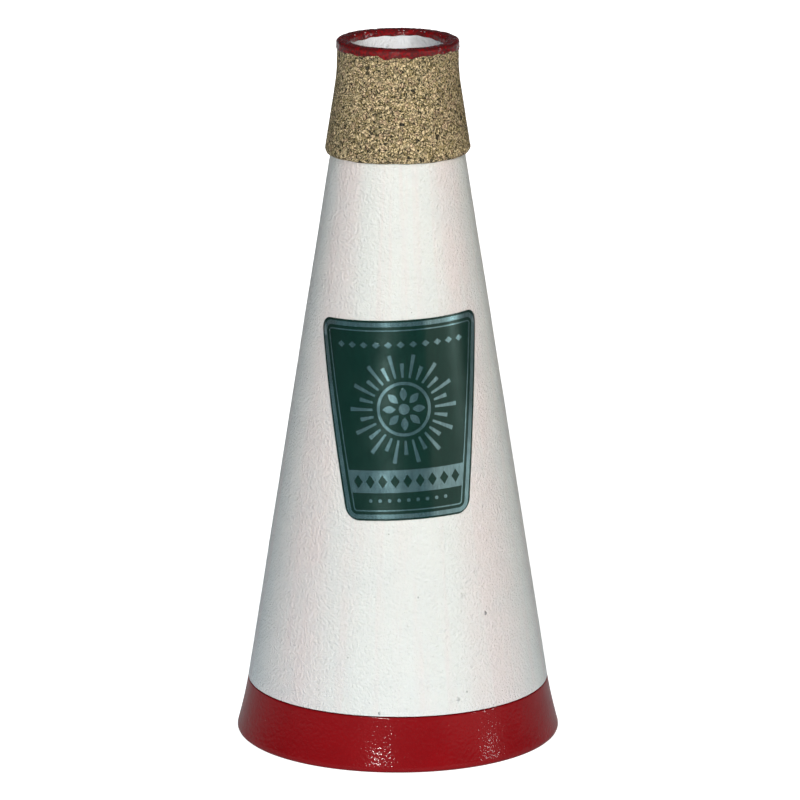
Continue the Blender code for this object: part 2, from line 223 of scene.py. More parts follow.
class MutePaint(bpy.types.PropertyGroup):
    """The painted fibreboard cone and its lining."""
    colour: a_colour("Paint", "Colour of the white paint", (0.825, 0.823, 0.795))
    # The blush tint also colours a painted warm light along both flanks of the cone
    blush_and_flank_light: a_colour("Blush", "Faint warm tint that the brushed paint has in streaks",
                    (0.85, 0.755, 0.735))
    # The bore colour is cooler than the outside paint: a painted cool shade for the light inside
    # the mouth
    bore: a_colour("Bore", "Colour of the thin paint inside the mouth", (0.83, 0.83, 0.86))
    swell: a_length("Swell", "Height of the board's slow waves", 0.09)
    swell_size: a_length("Swell size", "Size of the board's slow waves", 17.0)
    peel: a_length("Peel", "Height of the paint's orange peel", 0.035)
    peel_size: a_length("Peel size", "Size of the paint's orange peel", 1.9)
    lining: a_colour("Lining", "Colour of the hard lining", (0.56, 0.58, 0.60))


class MuteCork(bpy.types.PropertyGroup):
    """The granulated cork of the collar and the bush."""
    granule: a_length("Granule", "Size of a cork granule", 0.85)
    relief: a_length("Relief", "Height of the granules over the seams between them", 0.12)
    light: a_colour("Light granules", "Colour of the palest granules", (0.47, 0.355, 0.195))
    middle: a_colour("Granules", "Colour of most granules", (0.325, 0.242, 0.104))
    dark: a_colour("Bark", "Colour of the bark specks and the seams", (0.012, 0.010, 0.005))
    seam_azimuth: an_angle("Seam", "Direction of the sheet's butt joint", 97.0)
    seam_gap: a_length("Seam gap", "Width of the sheet's butt joint", 0.3)


class MuteLacquer(bpy.types.PropertyGroup):
    """The red lacquer on the end ring, the dish and the narrow rim."""
    colour: a_colour("Lacquer", "Colour of the red lacquer", (0.242, 0.0045, 0.0068))
    crinkle: a_length("Crinkle", "Height of the crinkles in the ring's lacquer", 0.022)
    crinkle_size: a_length("Crinkle size", "Size of the crinkles", 2.3)
    hollow: a_length("Hollow", "How far the ring's skirt draws in between its edges", 0.16)
    film: a_length("Rim film", "Thickness of the lacquer on the narrow rim", 0.14)
    outer_reach: a_length("Outer reach", "How far the rim's lacquer runs down on the cork", 1.75)
    inner_reach: a_length("Inner reach", "How far the rim's lacquer runs down inside the mouth",
                          1.5)


class MuteMetal(bpy.types.PropertyGroup):
    """The spun aluminium of the sleeve, the stem and the cup."""
    colour: a_colour("Aluminium", "Colour of the spun aluminium", (0.76, 0.765, 0.775))
    turning: a_length("Turning", "Spacing of the fine turning lines", 0.35)


class MuteLabel(bpy.types.PropertyGroup):
    """The foil label: its place on the cone, its plain outline and its ornament."""
    middle_height: a_length("Middle height", "Height of the label's middle", 80.8)
    azimuth: an_angle("Azimuth", "How far round from the front the label sits", 3.6)
    tilt: an_angle("Tilt", "How far the label was stuck on askew", 2.4)
    height: a_length("Height", "Height of the label", 46.0)
    top_width: a_length("Top width", "Width of the label at its top", 41.5)
    foot_width: a_length("Foot width", "Width of the label at its foot", 29.5)
    corner: a_length("Corner", "Radius of the label's corners", 3.0)
    thickness: a_length("Thickness", "Thickness of the foil and its glue", 0.25)
    rays: IntProperty(
        name="Rays", description="Rays round the rosette", default=28, min=8, max=60)
    green: a_colour("Green", "Colour of the printed ground", (0.004, 0.036, 0.026))
    silver: a_colour("Silver", "Colour of the bare foil", (0.29, 0.44, 0.465))


class MuteStage(bpy.types.PropertyGroup):
    """The camera and the plain studio round the mute."""
    distance: a_length("Distance", "Distance of the camera", 1450.0)
    elevation: an_angle("Elevation", "How far the camera looks down", 14.1)
    aim_height: a_length("Aim height", "Height that the camera aims at", 79.4)
    aim_side: a_length("Aim side", "How far to the right of the axis the camera aims", 0.5)
    lens: FloatProperty(
        name="Lens", description="Focal length of the camera in millimetres", default=279.5)
    floor: a_colour("Floor", "Colour of the pale floor", (0.46, 0.46, 0.47))


# Reading the frame's turned nodes and refining their outlines

def cad_columns(node):
    """Outlines (radius, height) of a turned node by angle, each from its top point round."""
    copy = bmesh.new()
    copy.from_mesh(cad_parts[node].data)
    bmesh.ops.remove_doubles(copy, verts=copy.verts, dist=WELD)
    turned = sorted(((math.atan2(vert.co.y, vert.co.x) + COLUMN_GAP) % TURN, index, vert)
                    for index, vert in enumerate(copy.verts))
    groups = []
    last = -TURN
    for angle, _, vert in turned:
        if angle - last > COLUMN_GAP:
            groups.append((angle - COLUMN_GAP, set()))
        groups[-1][1].add(vert)
        last = angle
    columns = {}
    for angle, members in groups:
        here = max(members, key=lambda vert: (round(vert.co.z, 6), vert.co.xy.length))
        ordered = []
        while here is not None:
            ordered.append(here)
            around = (edge.other_vert(here) for edge in here.link_edges)
            here = next((vert for vert in around if vert in members and vert not in ordered), None)
        points = [Vector((vert.co.xy.length, vert.co.z)) for vert in ordered]
        area = sum(a.cross(b) for a, b in zip(points, points[1:] + points[:1]))
        if area < 0:
            points = points[:1] + points[:0:-1]
        columns[angle] = points
    copy.free()
    return columns


def plain_outline(columns):
    """The outline at the front, where no lap and no seam lies."""
    return columns[min(columns, key=lambda angle: abs(angle - FRONT))]


def soften(points, edge):
    """Give an outline's sharp corners a small round edge: stations of (place along, point)."""
    stations = []
    count = len(points)
    for index, here in enumerate(points):
        back = points[index - 1] - here
        ahead = points[(index + 1) % count] - here
        if math.pi - back.angle(ahead) < SHARP_TURN:
            stations.append((index, here))
            continue
        reach = min(edge, CORNER_SHARE * back.length, CORNER_SHARE * ahead.length)
        first = here + back.normalized() * reach
        last = here + ahead.normalized() * reach
        for share in (0.0, 1 / 3, 2 / 3, 1.0):
            point = first.lerp(here, share).lerp(here.lerp(last, share), share)
            along = index - reach / back.length * (1 - share) + reach / ahead.length * share
            stations.append((along, point))
    return stations


def station_tangents(steps):
    """Directions of a smooth line at its stations, where a much longer step stays straight."""
    tangents = []
    for before, after in zip(steps[-1:] + steps[:-1], steps):
        if before.length > STRAIGHT_TIMES * after.length:
            tangents.append(before.normalized())
        elif after.length > STRAIGHT_TIMES * before.length:
            tangents.append(after.normalized())
        else:
            tangents.append((before.normalized() + after.normalized()).normalized())
    return tangents


def refine(points, edge, fine, coarse):
    """Follow an outline closely, with fine steps where it faces out: the line, and places along."""
    stations = soften(points, edge)
    count = len(stations)
    steps = [stations[(index + 1) % count][1] - stations[index][1] for index in range(count)]
    tangents = station_tangents(steps)
    line, places = [], []
    for index, step in enumerate(steps):
        follower = (index + 1) % count
        along, start = stations[index]
        along_end, end = stations[follower]
        if follower == 0:
            along_end += len(points)
        spacing = fine if step.y > RISE_SHARE * step.length else coarse
        pieces = max(1, round(step.length / spacing))
        for part in range(pieces):
            t = part / pieces
            own = 2 * t ** 3 - 3 * t ** 2 + 1
            leave = (t ** 3 - 2 * t ** 2 + t) * step.length
            arrive = (t ** 3 - t ** 2) * step.length
            line.append(start * own + end * (1 - own) + tangents[index] * leave
                        + tangents[follower] * arrive)
            places.append(along + (along_end - along) * t)
    return np.array(line), np.array(places) % len(points)


def turned_surface(node):
    """Angles, radii and heights of a closed turned node's fine surface, with its lap if any."""
    count, edge, fine, coarse = FINENESS[node]
    columns = cad_columns(node)
    plain = np.array(plain_outline(columns))
    line, places = refine(plain_outline(columns), edge, fine, coarse)
    cad_angles = np.array(sorted(columns))
    shifts = np.array([[point.x for point in columns[angle]] for angle in cad_angles])
    shifts -= plain[:, 0]
    low = np.floor(places).astype(int) % len(plain)
    share = places - np.floor(places)
    moved = shifts[:, low] * (1 - share) + shifts[:, (low + 1) % len(plain)] * share
    even = np.arange(count) * TURN / count
    extra = [angle for angle in cad_angles if np.min(np.abs(even - angle)) > TURN / count / 4]
    angles = np.sort(np.concatenate([even, extra]))
    radii = np.stack([line[index, 0] + np.interp(angles, cad_angles, moved[:, index], period=TURN)
                      for index in range(len(line))], axis=1)
    heights = np.tile(line[:, 1], (len(angles), 1))
    return angles, radii, heights


def grid_mesh(name, angles, radii, heights, closed=True):
    """Make a turned object from rows of radii and heights, one row for each angle."""
    rows, across = radii.shape
    x = radii * np.cos(angles)[:, None]
    y = radii * np.sin(angles)[:, None]
    points = np.stack([x, y, heights], axis=2).reshape(-1, 3)
    here = np.arange(rows if closed else rows - 1)[:, None] * across
    there = (here + across) % (rows * across)
    low = np.arange(across)[None, :]
    high = (low + 1) % across
    faces = np.stack([here + low, there + low, there + high, here + high], axis=2).reshape(-1, 4)
    faces = faces.tolist()
    if not closed:
        faces.append(list(range(across)))
        faces.append(list(range((rows - 1) * across, rows * across))[::-1])
    mesh = bpy.data.meshes.new(name)
    mesh.from_pydata(points.tolist(), [], faces)
    mesh.update()
    return link(name, mesh)


def link(name, data):
    """Put a mesh, a lamp or a camera into the scene as an object."""
    made = bpy.data.objects.new(name, data)
    bpy.context.scene.collection.objects.link(made)
    return made


def turned_piece(name, node, material, slot, body):
    """Make a fine piece from a turned node of the frame, which it stands for."""
    finish(grid_mesh(name, *turned_surface(node)), material, slot, body, node)


def wave(angles, waves):
    """A smooth closed ripple round the axis: (count, height, phase) waves added up."""
    return sum(height * np.sin(count * angles + phase) for count, height, phase in waves)


def hump(angles, middle, width):
    """One soft bump round the axis, 1 at its middle."""
    apart = (angles - middle + math.pi) % TURN - math.pi
    return np.exp(-(apart / width) ** 2)


def settle(piece, slot, body, *nodes):
    """Finish a piece: smooth shading, its body, and the nodes that it stands for, which it hides.
    The slot is not used.
    """
    piece.data.shade_smooth()
    piece.data.set_sharp_from_angle(angle=SMOOTH_ANGLE)
    if nodes:
        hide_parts(*nodes)
    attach(piece, body)


def finish(piece, material, slot, body, *nodes):
    """Give a piece its material and settle it."""
    piece.data.materials.append(material)
    settle(piece, slot, body, *nodes)


def straight_side():
    """The cone's straight outer side: its lower and its upper end (radius, height)."""
    outline = plain_outline(cad_columns("fibre_cone"))
    pairs = zip(outline, outline[1:] + outline[:1])
    return max(pairs, key=lambda pair: pair[1].y - pair[0].y)


def rim_path(outer, inner, top, out_reach, in_reach):
    """The rim's surface from the outside up, over the top and down inside."""
    outside = [Vector((outer, top - out_reach + (out_reach - OUTER_ROUND) * step / 9))
               for step in range(9)]
    corner = [Vector((outer - OUTER_ROUND + OUTER_ROUND * math.cos(turn),
                      top - OUTER_ROUND + OUTER_ROUND * math.sin(turn)))
              for turn in (math.pi / 2 * step / 6 for step in range(7))]
    across = [Vector((outer - OUTER_ROUND + (inner + INNER_ROUND - outer + OUTER_ROUND)
                      * step / 8, top)) for step in range(1, 8)]
    bend = [Vector((inner + INNER_ROUND - INNER_ROUND * math.sin(turn),
                    top - INNER_ROUND + INNER_ROUND * math.cos(turn)))
            for turn in (math.pi / 2 * step / 5 for step in range(6))]
    inside = [Vector((inner, top - INNER_ROUND - (in_reach - INNER_ROUND) * step / 6))
              for step in range(1, 7)]
    return outside + corner + across + bend + inside


def film_section(path, thickness, angle):
    """A film's closed section along a path: rooted under it, thin at its ends, a little uneven."""
    length = sum((b - a).length for a, b in zip(path, path[1:]))
    over, under = [], []
    gone = 0.0
    for index, here in enumerate(path):
        before = path[max(index - 1, 0)]
        after = path[min(index + 1, len(path) - 1)]
        along = (after - before).normalized()
        out = Vector((along.y, -along.x))
        gone += (here - before).length
        from_end = min(gone, length - gone)
        swell = 1 + BEAD_SWELL * math.exp(-((from_end - BEAD_PLACE) / BEAD_WIDTH) ** 2)
        bead = min(1.0, (from_end / FILM_EDGE) ** 0.5) * swell
        place = Vector((here.x * math.cos(angle), here.x * math.sin(angle), here.y)) / RIPPLE_SIZE
        ripple = 1 + 0.45 * mathutils_noise.noise(place) + 0.5 * mathutils_noise.noise(place * 2.6)
        over.append(here + out * (thickness * bead * ripple - FILM_ROOT * (1 - min(1.0, bead))))
        under.append(here - out * FILM_ROOT)
    return over + under[::-1]


# Node trees

GEOMETRY = "NodeSocketGeometry"
MATERIAL = "NodeSocketMaterial"
VECTOR = "NodeSocketVector"
FLOAT = "NodeSocketFloat"
COLOUR = "NodeSocketColor"
SOCKET_KINDS = {float: FLOAT, int: "NodeSocketInt", tuple: COLOUR}


def feed(tree, socket, value):
    """Link an input to another node's socket, or give it a value."""
    if isinstance(value, bpy.types.NodeSocket):
        tree.links.new(value, socket)
    else:
        socket.default_value = (*value, 1.0) if socket.type == "RGBA" else value


def add_node(tree, kind, inputs=None, **settings):
    """Add a node with its settings; an input takes a value or another node's socket."""
    node = tree.nodes.new(kind)
    for name, value in settings.items():
        setattr(node, name, value)
    for key, value in (inputs or {}).items():
        feed(tree, node.inputs[key], value)
    return node


def maths(tree, operation, *values):
    """Combine numbers."""
    return add_node(tree, "ShaderNodeMath", dict(enumerate(values)), operation=operation).outputs[0]


def vectors(tree, operation, *values):
    """Combine vectors: the result is a vector, or a number for a length or a dot product."""
    node = add_node(tree, "ShaderNodeVectorMath", dict(enumerate(values)), operation=operation)
    return node.outputs["Value" if operation in ("DOT_PRODUCT", "LENGTH") else "Vector"]


def scaled(tree, vector, factor):
    """A vector made longer or shorter by a factor."""
    return add_node(tree, "ShaderNodeVectorMath", {0: vector, "Scale": factor},
                    operation="SCALE").outputs[0]


def components(tree, vector):
    """The x, y and z of a vector."""
    return add_node(tree, "ShaderNodeSeparateXYZ", {0: vector}).outputs


def combine(tree, x=0.0, y=0.0, z=0.0):
    """A vector of three numbers."""
    return add_node(tree, "ShaderNodeCombineXYZ", {0: x, 1: y, 2: z}).outputs[0]


def away_from_axis(tree, position):
    """Unit vector at a position that points straight away from the mute's axis."""
    return vectors(tree, "NORMALIZE", vectors(tree, "MULTIPLY", position, (1.0, 1.0, 0.0)))


def ramp(tree, value, low, high, to_low=0.0, to_high=1.0, smooth=True):
    """Map a value from low..high to to_low..to_high, softly and clamped."""
    inputs = {"Value": value, "From Min": low, "From Max": high, "To Min": to_low,
              "To Max": to_high}
    kind = "SMOOTHSTEP" if smooth else "LINEAR"
    return add_node(tree, "ShaderNodeMapRange", inputs, interpolation_type=kind).outputs["Result"]


def blend(tree, factor, first, second):
    """Mix two colours by a factor."""
    inputs = {"Factor": factor, 6: first, 7: second}
    return add_node(tree, "ShaderNodeMix", inputs, data_type="RGBA").outputs[2]


def per_size(tree, size):
    """The scale of a texture whose features have a size, which may come from a socket."""
    return maths(tree, "DIVIDE", 1.0, size) if isinstance(size, bpy.types.NodeSocket) else 1 / size


def noise(tree, position, size, detail=2.0, roughness=0.5, seed=0.0):
    """Smooth noise with features of a size; a seed of None gives the plain noise in 3D."""
    inputs = {"Vector": position, "Scale": per_size(tree, size), "Detail": detail,
              "Roughness": roughness}
    if seed is None:
        return add_node(tree, "ShaderNodeTexNoise", inputs).outputs[0]
    return add_node(tree, "ShaderNodeTexNoise", {**inputs, "W": seed},
                    noise_dimensions="4D").outputs[0]


def new_group(name, kind, inputs, outputs):
    """Make a node group: an input has its default or its kind of socket, an output its kind."""
    tree = bpy.data.node_groups.new(name, kind)
    for key, value in inputs.items():
        bare = isinstance(value, str)
        socket = tree.interface.new_socket(
            key, in_out="INPUT", socket_type=value if bare else SOCKET_KINDS[type(value)])
        if not bare:
            socket.default_value = value
    for key, value in outputs.items():
        tree.interface.new_socket(key, in_out="OUTPUT", socket_type=value)
    return tree, tree.nodes.new("NodeGroupInput").outputs, tree.nodes.new("NodeGroupOutput").inputs


def new_mesh_tree(name, **values):
    """Make a Geometry Nodes tree: geometry, values by name and a material in, geometry out."""
    inputs = {key.replace("_", " ").title(): value for key, value in values.items()}
    return new_group(name, "GeometryNodeTree",
                     {"Geometry": GEOMETRY, **inputs, "Material": MATERIAL},
                     {"Geometry": GEOMETRY})


def place_group(tree, group, **inputs):
    """Place a shader node group, its inputs given by name with _ for a space."""
    node = tree.nodes.new("ShaderNodeGroup")
    node.node_tree = group
    for key, value in inputs.items():
        feed(tree, node.inputs[key.replace("_", " ")], value)
    return node.outputs


def run_tree(piece, tree, **values):
    """Run a Geometry Nodes tree on a piece and keep its result as the piece's mesh."""
    modifier = piece.modifiers.new(tree.name, "NODES")
    modifier.node_group = tree
    for item in tree.interface.items_tree:
        if item.item_type == "SOCKET" and item.in_out == "INPUT":
            key = item.name.lower().replace(" ", "_")
            if key in values:
                modifier[item.identifier] = values[key]
    depsgraph = bpy.context.evaluated_depsgraph_get()
    result = bpy.data.meshes.new_from_object(piece.evaluated_get(depsgraph))
    piece.modifiers.remove(modifier)
    piece.data = result
    result.name = piece.name


def close_tree(tree, outputs, geometry, material):
    """End a Geometry Nodes tree in Realize Instances and Set Material."""
    real = add_node(tree, "GeometryNodeRealizeInstances", {"Geometry": geometry})
    painted = add_node(tree, "GeometryNodeSetMaterial",
                       {"Geometry": real.outputs[0], "Material": material})
    tree.links.new(painted.outputs[0], outputs["Geometry"])


def outward_share(tree):
    """Position, normal, and 1 where a surface faces away from the axis, 0 where it doesn't."""
    position = add_node(tree, "GeometryNodeInputPosition").outputs[0]
    normal = add_node(tree, "GeometryNodeInputNormal").outputs[0]
    facing = vectors(tree, "DOT_PRODUCT", away_from_axis(tree, position), normal)
    return position, normal, ramp(tree, facing, 0.3, 0.8)


def move_out(tree, geometry, normal, distance):
    """Move a surface along its normals."""
    return add_node(tree, "GeometryNodeSetPosition", {
        "Geometry": geometry, "Offset": scaled(tree, normal, distance)}).outputs[0]


def film_tree():
    """Relief of a brushed film: slow waves and a finer peel, on the side that faces out."""
    tree, given, out = new_mesh_tree(
        "Brushed film", wave_size=0.015, wave_height=0.0001, peel_size=0.002, peel_height=0.00003,
        seed=1.0)
    position, normal, mask = outward_share(tree)
    total = None
    for size, height in (("Wave Size", "Wave Height"), ("Peel Size", "Peel Height")):
        field = noise(tree, position, given[size], detail=1.0, seed=given["Seed"])
        centred = maths(tree, "SUBTRACT", field, 0.5)
        lift = maths(tree, "MULTIPLY", centred, maths(tree, "MULTIPLY", given[height], 2.0))
        total = lift if total is None else maths(tree, "ADD", total, lift)
    distance = maths(tree, "MULTIPLY", total, mask)
    close_tree(tree, out, move_out(tree, given["Geometry"], normal, distance), given["Material"])
    return tree


def granules(tree, position, size):
    """Cork cells at a position: each granule's own random colour, and its distance to a seam."""
    drift = add_node(tree, "ShaderNodeTexNoise", {
        "Vector": position, "Scale": 1 / CORK_WARP_SIZE, "Detail": 1.0}).outputs["Color"]
    bent = vectors(tree, "ADD", position, scaled(tree, drift, CORK_WARP))
    inputs = {"Vector": bent, "Scale": per_size(tree, size)}
    cells = add_node(tree, "ShaderNodeTexVoronoi", inputs)
    seams = add_node(tree, "ShaderNodeTexVoronoi", inputs, feature="DISTANCE_TO_EDGE")
    return cells.outputs["Color"], seams.outputs["Distance"]


def cork_tree():
    """Relief of granulated cork: each granule at its own height, with seams between them."""
    tree, given, out = new_mesh_tree("Cork granules", granule=0.0015, relief=0.0001)
    position, normal, mask = outward_share(tree)
    colour, seam = granules(tree, position, given["Granule"])
    own = components(tree, colour)[0]
    pits = ramp(tree, seam, 0.0, 0.13)
    height = maths(tree, "ADD", maths(tree, "MULTIPLY", pits, 0.55),
                   maths(tree, "MULTIPLY", own, 0.45))
    height = maths(tree, "SUBTRACT", height, 0.75)
    distance = maths(tree, "MULTIPLY", maths(tree, "MULTIPLY", height, given["Relief"]), mask)
    close_tree(tree, out, move_out(tree, given["Geometry"], normal, distance), given["Material"])
    return tree


def wrap_tree():
    """Bend a flat label layer (across, up, proud) round the cone's side."""
    tree, given, out = new_mesh_tree(
        "Wrap on cone", middle_height=0.08, middle_radius=0.024, taper=0.156, azimuth=0.0,
        tilt=0.0, ripple=0.00003)
    position = add_node(tree, "GeometryNodeInputPosition").outputs[0]
    kept = add_node(tree, "GeometryNodeStoreNamedAttribute",
                    {"Geometry": given["Geometry"], "Name": "flat", "Value": position},
                    data_type="FLOAT_VECTOR", domain="POINT").outputs[0]
    turned = add_node(tree, "ShaderNodeVectorRotate", {"Vector": position, "Angle": given["Tilt"]},
                      rotation_type="Z_AXIS").outputs[0]
    across, up, proud = components(tree, turned)
    slope = maths(tree, "COSINE", maths(tree, "ARCTANGENT", given["Taper"]))
    rise = maths(tree, "MULTIPLY", up, slope)
    level = maths(tree, "ADD", given["Middle Height"], rise)
    bare = maths(tree, "SUBTRACT", given["Middle Radius"],
                 maths(tree, "MULTIPLY", given["Taper"], rise))
    swell = maths(tree, "SUBTRACT", noise(tree, turned, 7.0 * MM, detail=1.0), 0.5)
    raised = maths(tree, "ADD", proud, maths(tree, "MULTIPLY", swell, given["Ripple"]))
    radius = maths(tree, "ADD", bare, raised)
    angle = maths(tree, "ADD", maths(tree, "SUBTRACT", given["Azimuth"], math.pi / 2),
                  maths(tree, "DIVIDE", across, radius))
    place = combine(tree, maths(tree, "MULTIPLY", radius, maths(tree, "COSINE", angle)),
                    maths(tree, "MULTIPLY", radius, maths(tree, "SINE", angle)), level)
    bent = add_node(tree, "GeometryNodeSetPosition",
                    {"Geometry": kept, "Position": place}).outputs[0]
    close_tree(tree, out, bent, given["Material"])
    return tree


# Shader node groups that several finishes share

def speckle_group():
    """Fine dust and pits: a mask of small dark specks and a height."""
    tree, given, out = new_group("Specks", "ShaderNodeTree",
                                 {"Vector": VECTOR, "Spacing": 0.006, "Size": 0.12},
                                 {"Mask": FLOAT, "Height": FLOAT})
    cells = add_node(tree, "ShaderNodeTexVoronoi", {
        "Vector": given["Vector"], "Scale": per_size(tree, given["Spacing"])})
    own = add_node(tree, "ShaderNodeSeparateColor", {0: cells.outputs["Color"]}).outputs[0]
    size = maths(tree, "MULTIPLY", given["Size"], own)
    spot = maths(tree, "LESS_THAN", cells.outputs["Distance"], size)
    soft = ramp(tree, maths(tree, "DIVIDE", cells.outputs["Distance"], size), 0.0, 2.0, 1.0, 0.0)
    tree.links.new(spot, out["Mask"])
    tree.links.new(soft, out["Height"])
    return tree


def film_group():
    """A brushed film's fine grain: a height for bump, and a mask of its thin and thick places."""
    tree, given, out = new_group("Film grain", "ShaderNodeTree",
                                 {"Vector": VECTOR, "Size": 0.0005},
                                 {"Height": FLOAT, "Cloud": FLOAT})
    grain = noise(tree, given["Vector"], given["Size"], detail=3.0, roughness=0.62, seed=None)
    broad = noise(tree, given["Vector"], 11.0 * MM, detail=4.0, roughness=0.55, seed=None)
    tree.links.new(grain, out["Height"])
    tree.links.new(broad, out["Cloud"])
    return tree


def turning_group():
    """Fine turning lines round the axis, for a bump height and a roughness."""
    tree, given, out = new_group("Turning lines", "ShaderNodeTree",
                                 {"Vector": VECTOR, "Spacing": 0.0004},
                                 {"Height": FLOAT, "Roughness": FLOAT})
    x, y, z = components(tree, given["Vector"])
    reach = maths(tree, "SQRT", maths(tree, "ADD", maths(tree, "MULTIPLY", x, x),
                                      maths(tree, "MULTIPLY", y, y)))
    lines = noise(tree, combine(tree, reach, 0.0, z), given["Spacing"], roughness=0.7, seed=None)
    cloud = noise(tree, given["Vector"], 6.0 * MM, detail=3.0, seed=None)
    tree.links.new(lines, out["Height"])
    tree.links.new(ramp(tree, cloud, 0.3, 0.7, 0.36, 0.43), out["Roughness"])
    return tree


def cork_group():
    """Granulated cork: the colour of granules, grain, bark and seams, and a height."""
    tree, given, out = new_group("Granulated cork", "ShaderNodeTree", {
        "Vector": VECTOR, "Granule": 0.0015, "Light": (0.5, 0.4, 0.25, 1.0),
        "Middle": (0.3, 0.22, 0.12, 1.0), "Dark": (0.05, 0.04, 0.02, 1.0),
    }, {"Color": COLOUR, "Height": FLOAT})
    colour, seam = granules(tree, given["Vector"], given["Granule"])
    first, second, third = components(tree, colour)
    granule = blend(tree, ramp(tree, first, 0.35, 1.0), given["Middle"], given["Light"])
    granule = blend(tree, ramp(tree, second, 0.62, 0.92, 0.0, 0.6), granule, PINK_GRANULE)
    granule = blend(tree, ramp(tree, third, 0.55, 0.95, 0.0, 0.5), granule, OLIVE_GRANULE)
    # Each granule is turned its own way, so that its grain runs its own way too
    spun = add_node(tree, "ShaderNodeVectorRotate",
                    {"Vector": given["Vector"], "Axis": colour,
                     "Angle": maths(tree, "MULTIPLY", first, TURN)},
                    rotation_type="AXIS_ANGLE").outputs[0]
    grain = noise(tree, vectors(tree, "MULTIPLY", spun, (1.0, 1.0, 0.42)), 0.34 * MM)
    pored = blend(tree, ramp(tree, grain, 0.455, 0.415, 0.0, 0.97), granule, given["Dark"])
    chipped = blend(tree, ramp(tree, grain, 0.54, 0.58, 0.0, 0.9), pored, PALE_CHIP)
    bark = ramp(tree, maths(tree, "MULTIPLY", first, second), 0.002, 0.001, 0.0, 0.9)
    barked = blend(tree, bark, chipped, given["Dark"])
    cracks = ramp(tree, noise(tree, given["Vector"], 1.1 * MM, seed=4.0), 0.46, 0.58)
    split = maths(tree, "MULTIPLY", ramp(tree, seam, 0.14, 0.03, 0.0, 0.55), cracks)
    height = maths(tree, "ADD", grain, ramp(tree, seam, 0.0, 0.12))
    tree.links.new(blend(tree, split, barked, given["Dark"]), out["Color"])
    tree.links.new(height, out["Height"])
    return tree


def shared_group(name, build):
    """The node group of a name, built when it is first asked for."""
    return bpy.data.node_groups.get(name) or build()


# Materials

def new_material(name, **sockets):
    """A material with a Principled BSDF, its plain values given by socket name."""
    material = bpy.data.materials.new(name)
    material.use_nodes = True
    tree = material.node_tree
    shader = tree.nodes["Principled BSDF"]
    for key, value in sockets.items():
        feed(tree, shader.inputs[key.replace("_", " ")], value)
    position = add_node(tree, "ShaderNodeTexCoord").outputs["Object"]
    return material, tree, shader, position


def set_surface(tree, shader, colour, roughness, height, relief):
    """Give a shader its colour, its roughness and the normal that a height of a relief makes."""
    normal = add_node(tree, "ShaderNodeBump", {"Height": height, "Distance": relief}).outputs[0]
    for key, value in (("Base Color", colour), ("Roughness", roughness), ("Normal", normal)):
        feed(tree, shader.inputs[key], value)
    return normal


def film_grain(tree, position, size):
    """The film grain group at a size."""
    return place_group(tree, shared_group("Film grain", film_group), Vector=position, Size=size)


def specks(tree, position, spacing, size):
    """The specks group at a spacing and a size."""
    return place_group(tree, shared_group("Specks", speckle_group), Vector=position,
                       Spacing=spacing, Size=size)


def paint_material(settings):
    """White brushed paint on fibreboard: blush, cloud, grain and specks, a painted warm light along
    both flanks, and a thin coat inside that is cooler, with painted shade in patches.
    """
    material, tree, shader, position = new_material("white_paint", Specular_IOR_Level=0.14)
    outward = away_from_axis(tree, position)
    film = film_grain(tree, position, size=0.63 * MM)
    dust = specks(tree, position, spacing=5.5 * MM, size=0.05)
    blobs = specks(tree, position, spacing=7.5 * MM, size=0.06)
    # Streaks run down the cone, and along both flanks they are strengthened into a painted warm
    # light, standing in for coloured light falling on the flanks
    tall = combine(tree, z=maths(tree, "MULTIPLY", components(tree, position)[2], 14.0))
    streak_place = vectors(tree, "ADD", scaled(tree, outward, 9.0), tall)
    streaks = noise(tree, streak_place, 1.0, detail=4.0, roughness=0.6, seed=None)
    side = maths(tree, "ABSOLUTE", components(tree, outward)[0])
    painted_flank_light = maths(tree, "MULTIPLY", ramp(tree, side, 0.38, 0.66), ramp(tree, side, 0.97, 0.76))
    warm = maths(tree, "MAXIMUM", ramp(tree, streaks, 0.42, 0.68, 0.0, 0.5),
                 maths(tree, "MULTIPLY", painted_flank_light, ramp(tree, streaks, 0.2, 0.6, 0.5, 1.0)))
    outside = blend(tree, warm, settings.colour, settings.blush_and_flank_light)
    outside = blend(tree, ramp(tree, film["Cloud"], 0.40, 0.75, 0.0, 0.35), outside, PAINT_CLOUD)
    outside = blend(tree, ramp(tree, film["Height"], 0.42, 0.25, 0.0, 0.25), outside, PAINT_GRAIN)
    outside = blend(tree, maths(tree, "MULTIPLY", dust["Mask"], 0.55), outside, PAINT_SPECK)
    # Inside the mouth the paint is cooler and darker in patches: painted shade for the dim, cool
    # light in there
    bore_painted_shade = tuple(channel * 0.6 for channel in settings.bore)
    bore = blend(tree, ramp(tree, film["Cloud"], 0.42, 0.62, 0.0, 0.9), settings.bore, bore_painted_shade)
    normal = add_node(tree, "ShaderNodeNewGeometry").outputs["Normal"]
    inward = ramp(tree, vectors(tree, "DOT_PRODUCT", outward, normal), -0.2, -0.4)
    height = maths(tree, "ADD", film["Height"], maths(tree, "MULTIPLY", blobs["Height"], 1.2))
    set_surface(tree, shader, blend(tree, inward, outside, bore),
                ramp(tree, film["Cloud"], 0.3, 0.7, 0.48, 0.60), height, relief=0.64 * MM)
    return material


